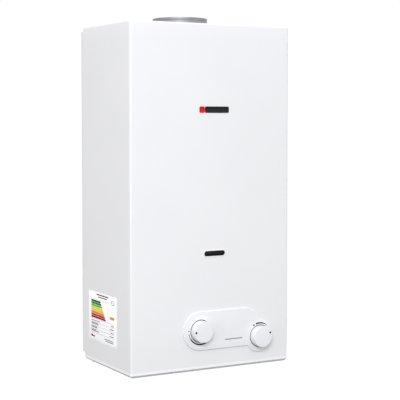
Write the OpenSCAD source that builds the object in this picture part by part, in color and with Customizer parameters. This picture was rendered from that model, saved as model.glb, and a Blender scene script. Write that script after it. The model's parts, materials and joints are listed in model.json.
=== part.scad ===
// Wall-hung instantaneous gas water heater, open flue, with a lift-off front cover.
// Millimetres, +Z up. The origin is on the wall, at the centre of the four wall holes,
// which is half way up the casing. The front faces -Y and the heater's left side is -X.

/* [Casing] */
// Width of the casing
case_w = 400; // [390:1:500]
// Height of the casing
case_h = 765; // [760:1:930]
// Depth of the front cover
cover_d = 247; // [243:1:310]
// How far the cover's rear edge stands off the wall
stand_off = 13; // [10:0.5:25]
// Thickness of the cover's sheet
sheet = 1; // [0.8:0.1:1.5]
// Radius of the cover's front bends
fold_r = 5; // [3:0.5:8]
// Radius of the cover's lower rear corners
corner_r = 16; // [8:1:24]
// Width of the lips folded in below the cover
lip_w = 14; // [11:0.5:20]

/* [Rear frame] */
// Thickness of the frame's sheet
frame_t = 1.2; // [1:0.1:2]
// Drop from the cover's top to the frame's top
frame_drop = 10; // [6:1:14]
// Rise from the cover's lower edge to the frame's lower end
frame_rise = 16; // [12:1:20]
// Depth of the frame's side flanges
flange_d = 27; // [24:1:34]
// Play between the cover and what it slides over
slide_gap = 0.5; // [0.4:0.1:0.8]
// Radius of the wall holes
wall_hole_r = 3.5; // [3:0.5:4.5]
// Distance between wall holes across the width
wall_span_x = 300; // [240:5:320]
// Distance between wall holes up the height
wall_span_z = 660; // [600:5:680]

/* [Flue] */
// Outer radius of the flue collar
flue_r = 62.5; // [50:0.5:66]
// Height of the collar above the casing
collar_h = 20; // [15:1:40]
// Distance of the flue's axis from the wall
flue_y = 110; // [100:1:120]
// Thickness of the collar's and hood's sheet
hood_t = 1; // [0.8:0.1:1.5]
// Gap round the collar in the cover's top
flue_gap = 4; // [2:0.5:6]

/* [Control panel] */
// Thickness of the raised panel
panel_t = 3; // [2:0.5:5]
// End radius of the panel
panel_r = 42.8; // [38:0.1:46]
// Distance from the left knob to the centre of the panel's right end
panel_run = 112.5; // [100:0.5:130]
// Radius of the panel round the right knob
panel_lobe_r = 36; // [32:0.5:42]
// Outer radius of both knobs
knob_r = 24; // [20:0.5:28]
// Height of a knob above the panel
knob_out = 17; // [12:1:22]
// Gap round each knob in the panel
knob_gap = 1.5; // [1:0.1:2.5]
// Left knob: distance right of the middle
left_x = -30.5; // [-40:0.5:-20]
// Left knob: height above the casing's lower edge
left_h = 89; // [86:0.5:92]
// Right knob: distance right of the middle
right_x = 122.5; // [116:0.5:130]
// Right knob: height above the casing's lower edge
right_h = 65; // [63:0.5:68]
// Radius of the printed scales
scale_r = 29.5; // [29:0.1:32]
// Thickness of the print
print_t = 0.4; // [0.3:0.1:0.6]

/* [Window and labels] */
// Window: distance right of the middle
window_x = 6.5; // [-20:0.5:20]
// Window: height above the casing's lower edge
window_h = 259; // [256:0.5:264]
// Width of the window's slot
slot_w = 54; // [40:1:70]
// Height of the window's slot
slot_h = 13.5; // [10:0.5:16]
// Width of the nameplate
plate_w = 74; // [60:1:90]
// Height of the nameplate
plate_h = 14; // [10:0.5:20]
// Nameplate: height above the casing's lower edge
plate_at = 576.5; // [500:1:640]
// Width of the efficiency label
label_w = 152; // [120:1:160]
// Height of the efficiency label
label_h = 112; // [90:1:140]
// Distance of the label behind the front
label_in = 69; // [40:1:72]
// Label: height of its lower edge above the casing's
label_at = 53; // [40:1:80]

/* [Burner and exchanger] */
// Room at each side between the chamber and the casing
side_room = 50; // [46:0.5:60]
// Depth of the combustion chamber
chamber_d = 150; // [140:1:156]
// Height of the combustion chamber above the burner
chamber_h = 260; // [240:5:300]
// Height of the heat exchanger
exchanger_h = 90; // [80:2:110]
// Height of the burner's ports above the casing's lower edge
port_h = 240; // [236:1:242]
// Thickness of the copper sheet
copper_t = 1; // [0.8:0.1:1.4]
// Number of burner blades
blades = 13; // [9:1:15]
// Width of a blade's port bar
blade_w = 10; // [8:0.5:12]
// Height of a blade
blade_h = 50; // [44:1:52]
// Number of heat exchanger fins
fins = 33; // [16:1:40]
// Thickness of a fin
fin_t = 0.6; // [0.5:0.1:0.8]

/* [Pipes and valves] */
// Outer radius of the water pipes
pipe_r = 7; // [6:0.5:7.5]
// Wall of the water pipes
pipe_wall = 1; // [0.8:0.1:1.2]
// Outer radius of the gas pipes
gas_pipe_r = 9; // [8:0.5:10]
// Outer radius of the pipe threads
thread_r = 10.5; // [10.4:0.1:13.2]
// How far the threads stand below the casing
stub_out = 20; // [15:1:24]
// Distance of the valves' axes from the wall
valve_y = 150; // [146:1:152]
// Height of the push rod's axis above the casing's lower edge
rod_h = 70; // [69:0.5:72]
// Radius of the push rod
rod_r = 3; // [2.5:0.1:3.2]
// Travel of the push rod
rod_travel = 5; // [3:0.5:5]
// Radius of the knob spindles
spindle_r = 4; // [3.5:0.1:4.5]
// Radial play of shafts in their bores
play = 0.06; // [0.03:0.01:0.1]
// Outer radius of the diaphragm
diaphragm_r = 36; // [34:0.5:38]

/* [Hidden] */
$fn = 48;
eps = 0.01;

// Casing planes
front_y = -(stand_off + cover_d);
rear_y = -stand_off;
half_w = case_w / 2;
inner_w = half_w - sheet;
panel_y = front_y - panel_t;
base_z = -case_h / 2;
top_z = case_h / 2;
flange_x = inner_w - slide_gap;

// Axes
axis_y = -valve_y;
flue_axis_y = -flue_y;
rod_z = base_z + rod_h;
left_z = base_z + left_h;
right_z = base_z + right_h;
hole_r = knob_r + knob_gap;

// Chamber, exchanger and hood
chamber_x = half_w - side_room;
chamber_front = flue_axis_y - chamber_d / 2;
chamber_back = flue_axis_y + chamber_d / 2;
port_z = base_z + port_h;
chamber_top = port_z + chamber_h;
exchanger_x = chamber_x - 5;
exchanger_front = chamber_front + 4;
exchanger_back = chamber_back - 4;
exchanger_top = chamber_top + exchanger_h;
tube_z = chamber_top + exchanger_h / 2;
tubes = 5;
tube_first_y = exchanger_back - 15;
tube_last_y = -valve_y;
tube_pitch = (tube_first_y - tube_last_y) / (tubes - 1);
flange_t = 1.5;
hood_x = chamber_x + 5;
hood_front = chamber_front - 5;
hood_back = -flange_d - 1;
hood_top = top_z - sheet - 1 - flange_t;

// Valves: the water valve sits behind the left knob, the gas valve behind the right one
water_x = left_x;
water_half = 22;
water_low = base_z + 48;
water_high = base_z + 108;
disc_t = 12;
diaphragm_t = 2;
disc_x = water_x - water_half - disc_t;
gas_x0 = right_x - 82.5;
gas_x1 = right_x + 37.5;
gas_half = 30;
gas_low = base_z + 40;
gas_high = base_z + 100;
cavity_r = 18;
cavity_end = gas_x0 + 55;
cap_t = 7;
seat_x = gas_x0 + 12;
seat_t = 4;
valve_disc_r = 14;
valve_disc_t = 4;
valve_disc_x = seat_x + seat_t;
solenoid_x = gas_x0 + 35;
gas_in_x = gas_x0 + 62;
gas_out_x = gas_x0 + 97;
plug_r = 9;
boss_out = 20;
spindle_end = front_y - 4;

// Manifold, in front of the burner's mouths
manifold_y = chamber_front - 22;
manifold_half = 9;
manifold_z = port_z - 35;
manifold_x = chamber_x - 4;
blade_pitch = (2 * chamber_x - 22) / blades;
blade_len = chamber_d - 12;

// Pipes
bend_r = 16;
feed_x = -(chamber_x + 18);
hot_x = -(chamber_x + 34);
hot_stub_x = -(chamber_x - 20);
coil_gap = 10;
coil_x = chamber_x + coil_gap;
coil_front = chamber_front - coil_gap - 1;
coil_back = chamber_back + coil_gap + 1;
riser_x = chamber_x + 24;
stub_z = base_z - stub_out;
thread_l = 16;
plate_z = base_z + 20;
plate_t = 1.5;

// Generator above the water valve
generator_r = 26;
generator_half = 18;
generator_z = water_high + 37;
rotor_r = 20;
axle_r = 1.5;

// Control box on the rear plate, behind the feed pipe
box_x0 = -(half_w - 35);
box_w = 80;
box_low = base_z + 60;
box_hgt = 110;
box_front = -50;
lead_r = 1.6;
lead_bend = 8;

// ---------------------------------------------------------------- shared shapes

// Ring outline, or a full disc when the inner radius is 0
module ring(r, inner = 0) {
    difference() {
        circle(r);
        if (inner > 0) circle(inner);
    }
}

// Cylinder along +X, from x = 0
module bar_x(length, r) rotate([0, 90, 0]) cylinder(h = length, r = r);

// Cylinder along -Y, from y = 0 towards the front
module bar_y(length, r) rotate([90, 0, 0]) cylinder(h = length, r = r);

// Outline in the X-Z plane, extruded from y = 0 towards the front
module towards_front(depth) rotate([90, 0, 0]) linear_extrude(depth) children();

// Slot with round ends, centred
module stadium(length, height) {
    square([length - height, height], center = true);
    for (s = [-1, 1]) translate([s * (length - height) / 2, 0]) circle(height / 2);
}

// Rectangle with round corners, centred
module round_rect(w, h, r) {
    square([w - 2 * r, h], center = true);
    square([w, h - 2 * r], center = true);
    for (x = [-1, 1], y = [-1, 1])
        translate([x * (w / 2 - r), y * (h / 2 - r)]) circle(r);
}

function unit(v) = v / norm(v);

// Leg of a pipe from a to b
module leg(a, b, r, inner) {
    along = unit(b - a);
    side = unit(cross(abs(along.z) > 0.9 ? [1, 0, 0] : [0, 0, 1], along));
    other = cross(along, side);
    multmatrix([
        [side.x, other.x, along.x, a.x],
        [side.y, other.y, along.y, a.y],
        [side.z, other.z, along.z, a.z],
        [0, 0, 0, 1]
    ]) linear_extrude(norm(b - a)) ring(r, inner);
}

// Elbow that leaves point a in direction u and ends in direction v
module elbow(a, u, v, bend, r, inner) {
    turn = acos(u * v);
    inward = unit(v - (u * v) * u);
    normal = cross(u, inward);
    centre = a + bend * inward;
    multmatrix([
        [-inward.x, u.x, -normal.x, centre.x],
        [-inward.y, u.y, -normal.y, centre.y],
        [-inward.z, u.z, -normal.z, centre.z],
        [0, 0, 0, 1]
    ]) mirror([0, 0, 1]) rotate_extrude(angle = turn) translate([bend, 0]) ring(r, inner);
}

// Pipe along a list of points, with the same bend radius at each inner point
module pipe(path, r, inner = 0, bend = bend_r) {
    last = len(path) - 1;
    dirs = [for (i = [0 : last - 1]) unit(path[i + 1] - path[i])];
    cut = [for (i = [0 : last])
        i == 0 || i == last ? 0 : bend * tan(acos(dirs[i - 1] * dirs[i]) / 2)];
    for (i = [0 : last - 1])
        leg(path[i] + cut[i] * dirs[i], path[i + 1] - cut[i + 1] * dirs[i], r, inner);
    for (i = [1 : last - 1])
        elbow(path[i] - cut[i] * dirs[i - 1], dirs[i - 1], dirs[i], bend, r, inner);
}

// Socket-head screw along +Z with its head below z = 0
module screw(head_r, head_t, shank_r, length) {
    translate([0, 0, -head_t]) difference() {
        cylinder(h = head_t, r = head_r);
        translate([0, 0, -eps]) cylinder(h = head_t / 2, r = head_r / 2, $fn = 6);
    }
    cylinder(h = length, r = shank_r);
}

// ---------------------------------------------------------------- rear frame

tab_w = 16;
bead_r = 5;
tab_back = -20;
tab_front = -56;
tab_z = base_z + sheet + slide_gap;
screw_y = -44;
screw_x = flange_x - frame_t - tab_w / 2;
screw_r = 2;

module wall_holes() {
    for (x = [-1, 1], z = [-1, 1])
        translate([x * wall_span_x / 2, eps, z * wall_span_z / 2]) bar_y(frame_t + 2 * eps, wall_hole_r);
}

// Hanging slot: a round hole that the screw head passes, with a narrow slot above it
module keyhole() {
    translate([0, eps, top_z - frame_drop - 50]) towards_front(frame_t + 2 * eps) {
        circle(7);
        translate([-3, 0]) square([6, 16]);
        translate([0, 16]) circle(3);
    }
}

// Foot on a side flange with a slot open to the front, for a cover screw
module fixing_tab() {
    translate([flange_x - frame_t, tab_front, tab_z]) cube([frame_t, tab_back - tab_front, 40]);
    difference() {
        translate([flange_x - tab_w, tab_front, tab_z]) cube([tab_w, tab_back - tab_front, frame_t]);
        translate([screw_x, screw_y, tab_z - eps]) {
            cylinder(h = frame_t + 2 * eps, r = screw_r + slide_gap);
            translate([-screw_r - slide_gap, tab_front - screw_y - eps, 0])
                cube([2 * (screw_r + slide_gap), screw_y - tab_front, frame_t + 2 * eps]);
        }
    }
}

module rear_frame() {
    low = base_z + frame_rise;
    high = top_z - frame_drop;
    color("gainsboro") {
        difference() {
            translate([-flange_x, -frame_t, low]) cube([2 * flange_x, frame_t, high - low]);
            wall_holes();
            keyhole();
            for (i = [-3 : 3]) translate([i * 18, eps, base_z + 200])
                towards_front(frame_t + 2 * eps) rotate(90) stadium(50, 6);
        }
        for (s = [0, 1]) mirror([s, 0, 0]) {
            translate([flange_x - frame_t, -flange_d, low]) cube([frame_t, flange_d, high - low]);
            fixing_tab();
        }
        for (z = [low, high - frame_t])
            translate([-flange_x, -flange_d, z]) cube([2 * flange_x, flange_d, frame_t]);
        // Half-round beads pressed into the plate, clear of the brackets
        for (z = [port_z + 120, exchanger_top - 40]) translate([-wall_span_x / 2, -frame_t, z])
            difference() {
                bar_x(wall_span_x, bead_r);
                translate([-eps, 0, -bead_r - 1]) cube([wall_span_x + 2 * eps, bead_r + 1, 2 * bead_r + 2]);
            }
    }
}

plate_back = -frame_t;
plate_front = axis_y - 34;
nut_r = 15;

module connection_plate() {
    color("silver") {
        difference() {
            translate([-chamber_x - 6, plate_front, plate_z])
                cube([2 * chamber_x + 12, plate_back - plate_front, plate_t]);
            for (x = [hot_stub_x, water_x, gas_in_x])
                translate([x, axis_y, plate_z - eps]) cylinder(h = plate_t + 2 * eps, r = thread_r + 0.6);
            for (i = [-3 : 3]) translate([i * 36, -70, plate_z - eps])
                linear_extrude(plate_t + 2 * eps) stadium(24, 8);
        }
        translate([-chamber_x - 6, plate_back - plate_t, plate_z])
            cube([2 * chamber_x + 12, plate_t, 16]);
        translate([-chamber_x - 6, plate_front, plate_z]) cube([2 * chamber_x + 12, plate_t, 8]);
    }
}

module bracket_strap(x, z, reach) {
    translate([x - 15, -reach, z]) cube([30, reach - frame_t, 2]);
    translate([x - 15, -frame_t - 2, z - 14]) cube([30, 2, 16]);
    translate([x - 15, -reach, z - 14]) cube([30, 2, 16]);
}

module mounting_brackets() {
    color("silver") {
        for (x = [-90, 90], z = [port_z + 30, chamber_top - 18])
            bracket_strap(x, z, -chamber_back);
        for (x = [-90, 90]) bracket_strap(x, exchanger_top + 70, -hood_back);
        // Shelf under the gas valve
        translate([gas_x0 + 78, axis_y - 12, gas_low - 2]) cube([36, -axis_y + 12 - frame_t, 2]);
        translate([gas_x0 + 78, -frame_t - 2, gas_low - 2]) cube([36, 2, 24]);
    }
}

// ---------------------------------------------------------------- front cover

// The cover seen from above: open at the back, front corners rounded
module cover_outline(inset) {
    r = max(fold_r - inset, 0.4);
    w = half_w - inset;
    f = front_y + inset;
    translate([-w, f + r]) square([2 * w, rear_y - f - r]);
    translate([r - w, f]) square([2 * (w - r), r + eps]);
    for (s = [-1, 1]) translate([s * (w - r), f + r]) circle(r);
}

// Panel outline in the X-Z plane: a stadium and a lobe round the right knob
module panel_outline() {
    translate([left_x, left_z]) {
        circle(panel_r);
        translate([panel_run, 0]) circle(panel_r);
        translate([0, -panel_r]) square([panel_run, 2 * panel_r]);
    }
    translate([right_x, right_z]) circle(panel_lobe_r);
}

module knob_holes(y, depth) {
    translate([left_x, y, left_z]) bar_y(depth, hole_r);
    translate([right_x, y, right_z]) bar_y(depth, hole_r);
}

module front_cover() {
    color("white") difference() {
        translate([0, 0, base_z]) {
            difference() {
                linear_extrude(case_h) cover_outline(0);
                translate([0, 0, -eps]) linear_extrude(case_h - sheet + eps) {
                    cover_outline(sheet);
                    translate([-inner_w, rear_y - 1]) square([2 * inner_w, 2]);
                }
            }
            // Lips folded in round the lower edge
            linear_extrude(sheet) difference() {
                cover_outline(sheet / 2);
                translate([lip_w - half_w, front_y + lip_w]) square([case_w - 2 * lip_w, cover_d]);
            }
        }
        // Lower rear corners, rounded on both sides at once
        translate([-half_w - 1, rear_y, base_z]) rotate([90, 0, 90]) linear_extrude(case_w + 2)
            difference() {
                translate([-corner_r, -1]) square([corner_r + 1, corner_r + 1]);
                translate([-corner_r, corner_r]) circle(corner_r);
            }
        // Way for the flue collar, open to the rear
        translate([0, 0, top_z - sheet - eps]) linear_extrude(sheet + 2 * eps) {
            translate([0, flue_axis_y]) circle(flue_r + flue_gap);
            translate([-flue_r - flue_gap, flue_axis_y])
                square([2 * (flue_r + flue_gap), rear_y - flue_axis_y + 1]);
        }
        knob_holes(front_y + sheet + eps, sheet + 2 * eps);
        translate([window_x, front_y + sheet + eps, base_z + window_h])
            towards_front(sheet + 2 * eps) stadium(slot_w, slot_h);
        for (s = [-1, 1]) translate([s * screw_x, screw_y, base_z - eps])
            cylinder(h = sheet + 2 * eps, r = screw_r + 0.2);
    }
}

module cover_screws() {
    nut_z = tab_z + frame_t + 0.4;
    color("silver") for (s = [-1, 1]) translate([s * screw_x, screw_y, base_z]) {
        screw(4, 2.4, screw_r, nut_z - base_z + 8);
        translate([0, 0, nut_z - base_z]) difference() {
            cylinder(h = 3, r = 4, $fn = 6);
            translate([0, 0, -eps]) cylinder(h = 3 + 2 * eps, r = screw_r);
        }
    }
}

module control_panel() {
    color("white") difference() {
        translate([0, front_y, 0]) towards_front(panel_t) panel_outline();
        knob_holes(front_y + eps, panel_t + 2 * eps);
    }
}

// Band along a circle, between two angles measured from +X
module arc_band(r, width, from, to) {
    steps = 18;
    function at(k) = from + (to - from) * k / steps;
    polygon(concat(
        [for (k = [0 : steps]) (r + width / 2) * [cos(at(k)), sin(at(k))]],
        [for (k = [steps : -1 : 0]) (r - width / 2) * [cos(at(k)), sin(at(k))]]));
}

module scale_marks() {
    dash_x = right_x - 68;
    color("dimgray") translate([0, panel_y, 0]) towards_front(print_t) {
        translate([left_x, left_z]) {
            rotate(176) translate([scale_r, 0]) circle(1.3);
            arc_band(scale_r, 1.2, 188, 212);
            arc_band(scale_r, 3, 212, 299);
            rotate(308) translate([scale_r, 0]) circle(1.3);
        }
        translate([right_x, right_z]) {
            rotate(121) translate([scale_r, 0]) circle(2);
            arc_band(scale_r, 3.4, 72, 109);
            arc_band(scale_r, 1.8, 48, 72);
        }
        translate([dash_x, base_z + 65.5]) stadium(46, 5);
    }
}

module window_frame() {
    rim = 4;
    depth = 9;
    color("silver") translate([window_x, 0, base_z + window_h]) {
        translate([0, front_y + sheet + depth, 0]) towards_front(depth) difference() {
            stadium(slot_w + 2 * rim, slot_h + 2 * rim);
            stadium(slot_w, slot_h);
        }
    }
}

module window_glass() {
    color("lightslategray", 0.5) translate([window_x, front_y + sheet + 7, base_z + window_h])
        towards_front(3) stadium(slot_w, slot_h);
}

module nameplate() {
    color("dimgray") translate([5, front_y, base_z + plate_at])
        towards_front(1.2) round_rect(plate_w, plate_h, 3);
}

module efficiency_label() {
    color("whitesmoke") translate([-half_w - 0.3, front_y + label_in, base_z + label_at])
        cube([0.3, label_w, label_h]);
}

// ---------------------------------------------------------------- knobs and spindles

skirt_in = 6;
knob_face = 3;
knob_wall = 2.2;
hub_r = 8;
dot_r = 2.8;
dot_in = 4.5;
dot_t = 1;
left_turn = 180;
right_turn = 25;
knob_len = skirt_in + panel_t + knob_out;
knob_tip_y = panel_y - knob_out;

// Knob with its axis along -Y: hollow cap with a hub, placed with its tip at knob_tip_y
module knob(turn) {
    rotate([90, 0, 0]) translate([0, 0, -knob_tip_y - knob_len]) difference() {
        union() {
            difference() {
                rotate_extrude() {
                    square([knob_r, knob_len - 2]);
                    square([knob_r - 2, knob_len]);
                    translate([knob_r - 2, knob_len - 2]) circle(2);
                }
                translate([0, 0, -eps]) cylinder(h = knob_len - knob_face + eps, r = knob_r - knob_wall);
            }
            cylinder(h = knob_len - knob_face + eps, r = hub_r);
        }
        // Blind bore for the spindle
        translate([0, 0, -eps]) cylinder(h = spindle_reach(), r = spindle_r + play);
        rotate(turn) translate([knob_r - dot_in, 0, knob_len - dot_t])
            cylinder(h = dot_t + eps, r = dot_r);
    }
}

// Depth of the spindle inside the knob, with a little room beyond its end
function spindle_reach() = -spindle_end + knob_tip_y + knob_len + 0.5;

// Dot of paint set flush in the knob's face
module pointer(turn) {
    rotate([90, 0, 0]) rotate(turn) translate([knob_r - dot_in, 0, -knob_tip_y - dot_t])
        cylinder(h = dot_t, r = dot_r);
}

module temperature_knob() color("white") translate([left_x, 0, left_z]) knob(left_turn);

module temperature_pointer() color("dimgray") translate([left_x, 0, left_z]) pointer(left_turn);

module gas_knob() color("white") translate([right_x, 0, right_z]) knob(right_turn);

module gas_pointer() color("dimgray") translate([right_x, 0, right_z]) pointer(right_turn);

module water_spindle() {
    back = axis_y - 4;
    color("goldenrod") translate([left_x, back, left_z]) {
        bar_y(back - spindle_end, spindle_r);
        translate([0, axis_y - water_half - 25.5 - back, 0]) bar_y(3, spindle_r + 3);
    }
}

module gas_spindle() {
    back = axis_y + 12;
    face = axis_y - gas_half - boss_out;
    color("goldenrod") translate([right_x, 0, right_z]) {
        translate([0, back, 0]) bar_y(back - face - 2, plug_r);
        translate([0, face + 2, 0]) bar_y(face + 2 - spindle_end, spindle_r);
    }
}

// ---------------------------------------------------------------- flue and hood

module flue_collar() {
    color("silver") translate([0, flue_axis_y, hood_top]) {
        linear_extrude(top_z + collar_h - hood_top) ring(flue_r, flue_r - hood_t);
        linear_extrude(flange_t) ring(flue_r + flue_gap - 1, flue_r);
    }
}

module hood_shell(inset) {
    translate([inset - hood_x, hood_front + inset, 0])
        cube([2 * (hood_x - inset), hood_back - hood_front - 2 * inset, hood_top - exchanger_top]);
}

module draught_hood() {
    tall = hood_top - exchanger_top;
    color("silver") translate([0, 0, exchanger_top]) difference() {
        hood_shell(0);
        difference() {
            hood_shell(hood_t);
            translate([-hood_x, hood_front, -eps])
                cube([2 * hood_x, hood_back - hood_front, hood_t + eps]);
            translate([-hood_x, hood_front, tall - hood_t])
                cube([2 * hood_x, hood_back - hood_front, hood_t + eps]);
        }
        // Way in from the exchanger and out to the flue
        translate([-exchanger_x, exchanger_front, -eps])
            cube([2 * exchanger_x, exchanger_back - exchanger_front, hood_t + 2 * eps]);
        translate([0, flue_axis_y, tall - hood_t - eps])
            cylinder(h = hood_t + 2 * eps, r = flue_r - hood_t);
        // Draught relief slots in the front and the sides
        for (i = [-2 : 2]) translate([i * 56, hood_front + hood_t + eps, tall - 48])
            towards_front(hood_t + 2 * eps) stadium(46, 22);
        for (i = [-1 : 1]) translate([-hood_x - eps, flue_axis_y + i * 44, tall - 48])
            rotate([90, 0, 90]) linear_extrude(2 * hood_x + 2 * eps) stadium(34, 22);
    }
}

module hood_baffle() {
    spread = 44;
    rise = 24;
    color("darkgray") translate([-hood_x + hood_t, flue_axis_y, exchanger_top + 55]) rotate([90, 0, 90])
        linear_extrude(2 * (hood_x - hood_t)) polygon([
            [-spread, 0], [0, rise], [spread, 0], [spread, 1.2], [0, rise + 1.2], [-spread, 1.2]
        ]);
}

module flue_sensor() {
    color("dimgray") translate([-hood_x + 40, hood_front, exchanger_top + 40]) {
        translate([-12, -1.5, -9]) cube([24, 1.5, 18]);
        translate([0, -1.5, 0]) bar_y(6, 8);
        for (s = [-1, 1]) translate([s * 3, -7.5, 0]) translate([-0.5, -6, -3]) cube([1, 6, 6]);
    }
}

// ---------------------------------------------------------------- exchanger and chamber

module exchanger_shell() {
    deep = exchanger_back - exchanger_front;
    color("peru") difference() {
        union() {
            translate([-exchanger_x, exchanger_front, chamber_top])
                cube([2 * exchanger_x, deep, exchanger_h]);
            // Flange that sits on the chamber
            translate([-chamber_x, chamber_front, chamber_top])
                cube([2 * chamber_x, chamber_d, flange_t]);
        }
        translate([copper_t - exchanger_x, exchanger_front + copper_t, chamber_top - eps])
            cube([2 * (exchanger_x - copper_t), deep - 2 * copper_t, exchanger_h + 2 * eps]);
        for (i = [0 : tubes - 1]) translate([-exchanger_x - eps, tube_first_y - i * tube_pitch, tube_z])
            bar_x(2 * exchanger_x + 2 * eps, pipe_r);
    }
}

module exchanger_fins() {
    span = 2 * (exchanger_x - copper_t) - 12;
    deep = exchanger_back - exchanger_front - 2 * copper_t;
    color("peru") for (i = [0 : fins - 1])
        translate([-span / 2 + i * (span - fin_t) / (fins - 1), exchanger_front + copper_t, tube_z])
            rotate([90, 0, 90]) linear_extrude(fin_t) difference() {
                translate([0, -exchanger_h / 2 + 8]) square([deep, exchanger_h - 16]);
                for (k = [0 : tubes - 1])
                    translate([tube_first_y - k * tube_pitch - exchanger_front - copper_t, 0])
                        circle(pipe_r);
                for (k = [0 : tubes - 2])
                    translate([tube_first_y - (k + 0.5) * tube_pitch - exchanger_front - copper_t, 20])
                        circle(4);
            }
}

// Serpentine: straight tubes along X joined by return bends outside the shell
module exchanger_tube() {
    ends = chamber_x;
    inner = pipe_r - pipe_wall;
    color("peru") {
        for (i = [0 : tubes - 1])
            translate([-ends, tube_first_y - i * tube_pitch, tube_z])
                rotate([90, 0, 90]) linear_extrude(2 * ends) ring(pipe_r, inner);
        for (i = [0 : tubes - 2])
            translate([i % 2 == 0 ? -ends : ends, tube_first_y - (i + 0.5) * tube_pitch, tube_z])
                rotate(i % 2 == 0 ? 90 : -90) rotate_extrude(angle = 180)
                    translate([tube_pitch / 2, 0]) ring(pipe_r, inner);
    }
}

electrode_z = port_z + 12;
electrode_x = 62;
ceramic_r = 4;
sight_z = base_z + window_h;

module combustion_chamber() {
    color("peru") difference() {
        translate([-chamber_x, chamber_front, port_z - 6]) cube([2 * chamber_x, chamber_d, chamber_h + 6]);
        translate([copper_t - chamber_x, chamber_front + copper_t, port_z - 6 - eps])
            cube([2 * (chamber_x - copper_t), chamber_d - 2 * copper_t, chamber_h + 6 + 2 * eps]);
        translate([window_x, chamber_front + copper_t + eps, sight_z])
            towards_front(copper_t + 2 * eps) stadium(slot_w + 6, slot_h + 2);
        for (s = [-1, 1]) translate([s * electrode_x, chamber_front + copper_t + eps, electrode_z])
            bar_y(copper_t + 2 * eps, ceramic_r);
    }
}

module sight_glass() {
    color("lightslategray", 0.5) translate([window_x, chamber_front, sight_z])
        towards_front(3) round_rect(slot_w + 16, slot_h + 12, 3);
}

// Cold water goes once and a half round the chamber before the exchanger
module preheat_coil() {
    low = port_z + 75;
    high = low + 90;
    color("peru") pipe([
        [water_x - generator_r - 12, axis_y, generator_z + 5],
        [feed_x, axis_y, generator_z + 5],
        [feed_x, axis_y, low],
        [feed_x, coil_front, low],
        [coil_x, coil_front, low],
        [coil_x, coil_back, low],
        [-coil_x, coil_back, low],
        [-coil_x, coil_back, high],
        [-coil_x, coil_front, high],
        [riser_x, coil_front, high],
        [riser_x, tube_first_y, high],
        [riser_x, tube_first_y, tube_z],
        [chamber_x, tube_first_y, tube_z]
    ], pipe_r, pipe_r - pipe_wall);
}

// ---------------------------------------------------------------- burner

module blade() {
    mouth_r = 6;
    ports = 9;
    low = port_z - blade_h;
    difference() {
        union() {
            translate([-blade_w / 2, -blade_len / 2, port_z - 14]) cube([blade_w, blade_len, 14]);
            translate([-2, -blade_len / 2 + 8, low + 15]) cube([4, blade_len - 16, blade_h - 28]);
            translate([0, blade_len / 2 - 10, manifold_z]) bar_y(blade_len - 10, mouth_r);
        }
        translate([0, -blade_len / 2 + 30, manifold_z]) bar_y(30 + eps, mouth_r - 1.2);
        for (i = [0 : ports - 1])
            translate([-blade_w / 2 + 1.5, -blade_len / 2 + (i + 0.5) * blade_len / ports - 2, port_z - 6])
                cube([blade_w - 3, 4, 6 + eps]);
    }
}

module burner_blades() {
    color("lightsteelblue") for (i = [0 : blades - 1])
        translate([(i - (blades - 1) / 2) * blade_pitch, flue_axis_y, 0]) blade();
}

module burner_frame() {
    low = port_z - blade_h - 4;
    color("silver") {
        for (s = [0, 1]) mirror([s, 0, 0])
            translate([chamber_x - copper_t - 1.4, chamber_front + 4, low])
                cube([1.4, chamber_d - 8, port_z - low]);
        // Rails below the blades' tubes
        for (y = [chamber_front + 20, chamber_back - 32])
            translate([-chamber_x + copper_t + 1, y, low])
                cube([2 * (chamber_x - copper_t - 1), 12, manifold_z - 6 - low]);
    }
}

module gas_manifold() {
    color("silver") difference() {
        union() {
            translate([-manifold_x, manifold_y - manifold_half, manifold_z - manifold_half])
                cube([2 * manifold_x, 2 * manifold_half, 2 * manifold_half]);
            translate([gas_out_x, manifold_y, manifold_z - manifold_half - 8])
                cylinder(h = 9, r = gas_pipe_r + 3);
        }
        translate([1.5 - manifold_x, manifold_y - manifold_half + 1.5, manifold_z - manifold_half + 1.5])
            cube([2 * manifold_x - 3, 2 * manifold_half - 3, 2 * manifold_half - 3]);
        translate([gas_out_x, manifold_y, manifold_z - manifold_half - 8 - eps])
            cylinder(h = 12, r = gas_pipe_r - 1.2);
        translate([gas_out_x, manifold_y, manifold_z - manifold_half - 8 - eps])
            cylinder(h = 5, r = gas_pipe_r);
        for (i = [0 : blades - 1]) translate([(i - (blades - 1) / 2) * blade_pitch, 0, manifold_z])
            translate([0, manifold_y + manifold_half + eps, 0]) bar_y(1.5 + 2 * eps, 2.5);
    }
}

module injectors() {
    color("goldenrod") for (i = [0 : blades - 1])
        translate([(i - (blades - 1) / 2) * blade_pitch, manifold_y + manifold_half, manifold_z])
            rotate([-90, 0, 0]) difference() {
                union() {
                    translate([0, 0, -1.5]) cylinder(h = 1.5, r = 2.5);
                    cylinder(h = 4, r = 5, $fn = 6);
                    translate([0, 0, 4]) cylinder(h = 5, r = 3);
                }
                translate([0, 0, 2]) cylinder(h = 7 + eps, r = 0.8);
            }
}

electrode_front = chamber_front - 26;
tag_t = 2;
sleeve_in = 12;

module electrode_bracket() {
    color("silver") for (s = [-1, 1]) translate([s * electrode_x, 0, 0]) difference() {
        translate([-10, chamber_front - tag_t, electrode_z - 9]) cube([20, tag_t, 24]);
        translate([0, chamber_front + eps, electrode_z]) bar_y(tag_t + 2 * eps, ceramic_r);
    }
}

// Ceramic sleeve with a steel rod that reaches in over the ports
module electrode(reach) {
    translate([0, chamber_front + sleeve_in, electrode_z])
        bar_y(chamber_front + sleeve_in - electrode_front, ceramic_r);
    translate([0, chamber_front - tag_t, electrode_z]) bar_y(4, ceramic_r + 2);
    translate([0, chamber_front + sleeve_in + reach, electrode_z]) bar_y(reach, 1.2);
    translate([0, electrode_front, electrode_z]) bar_y(6, 1.6);
}

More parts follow.
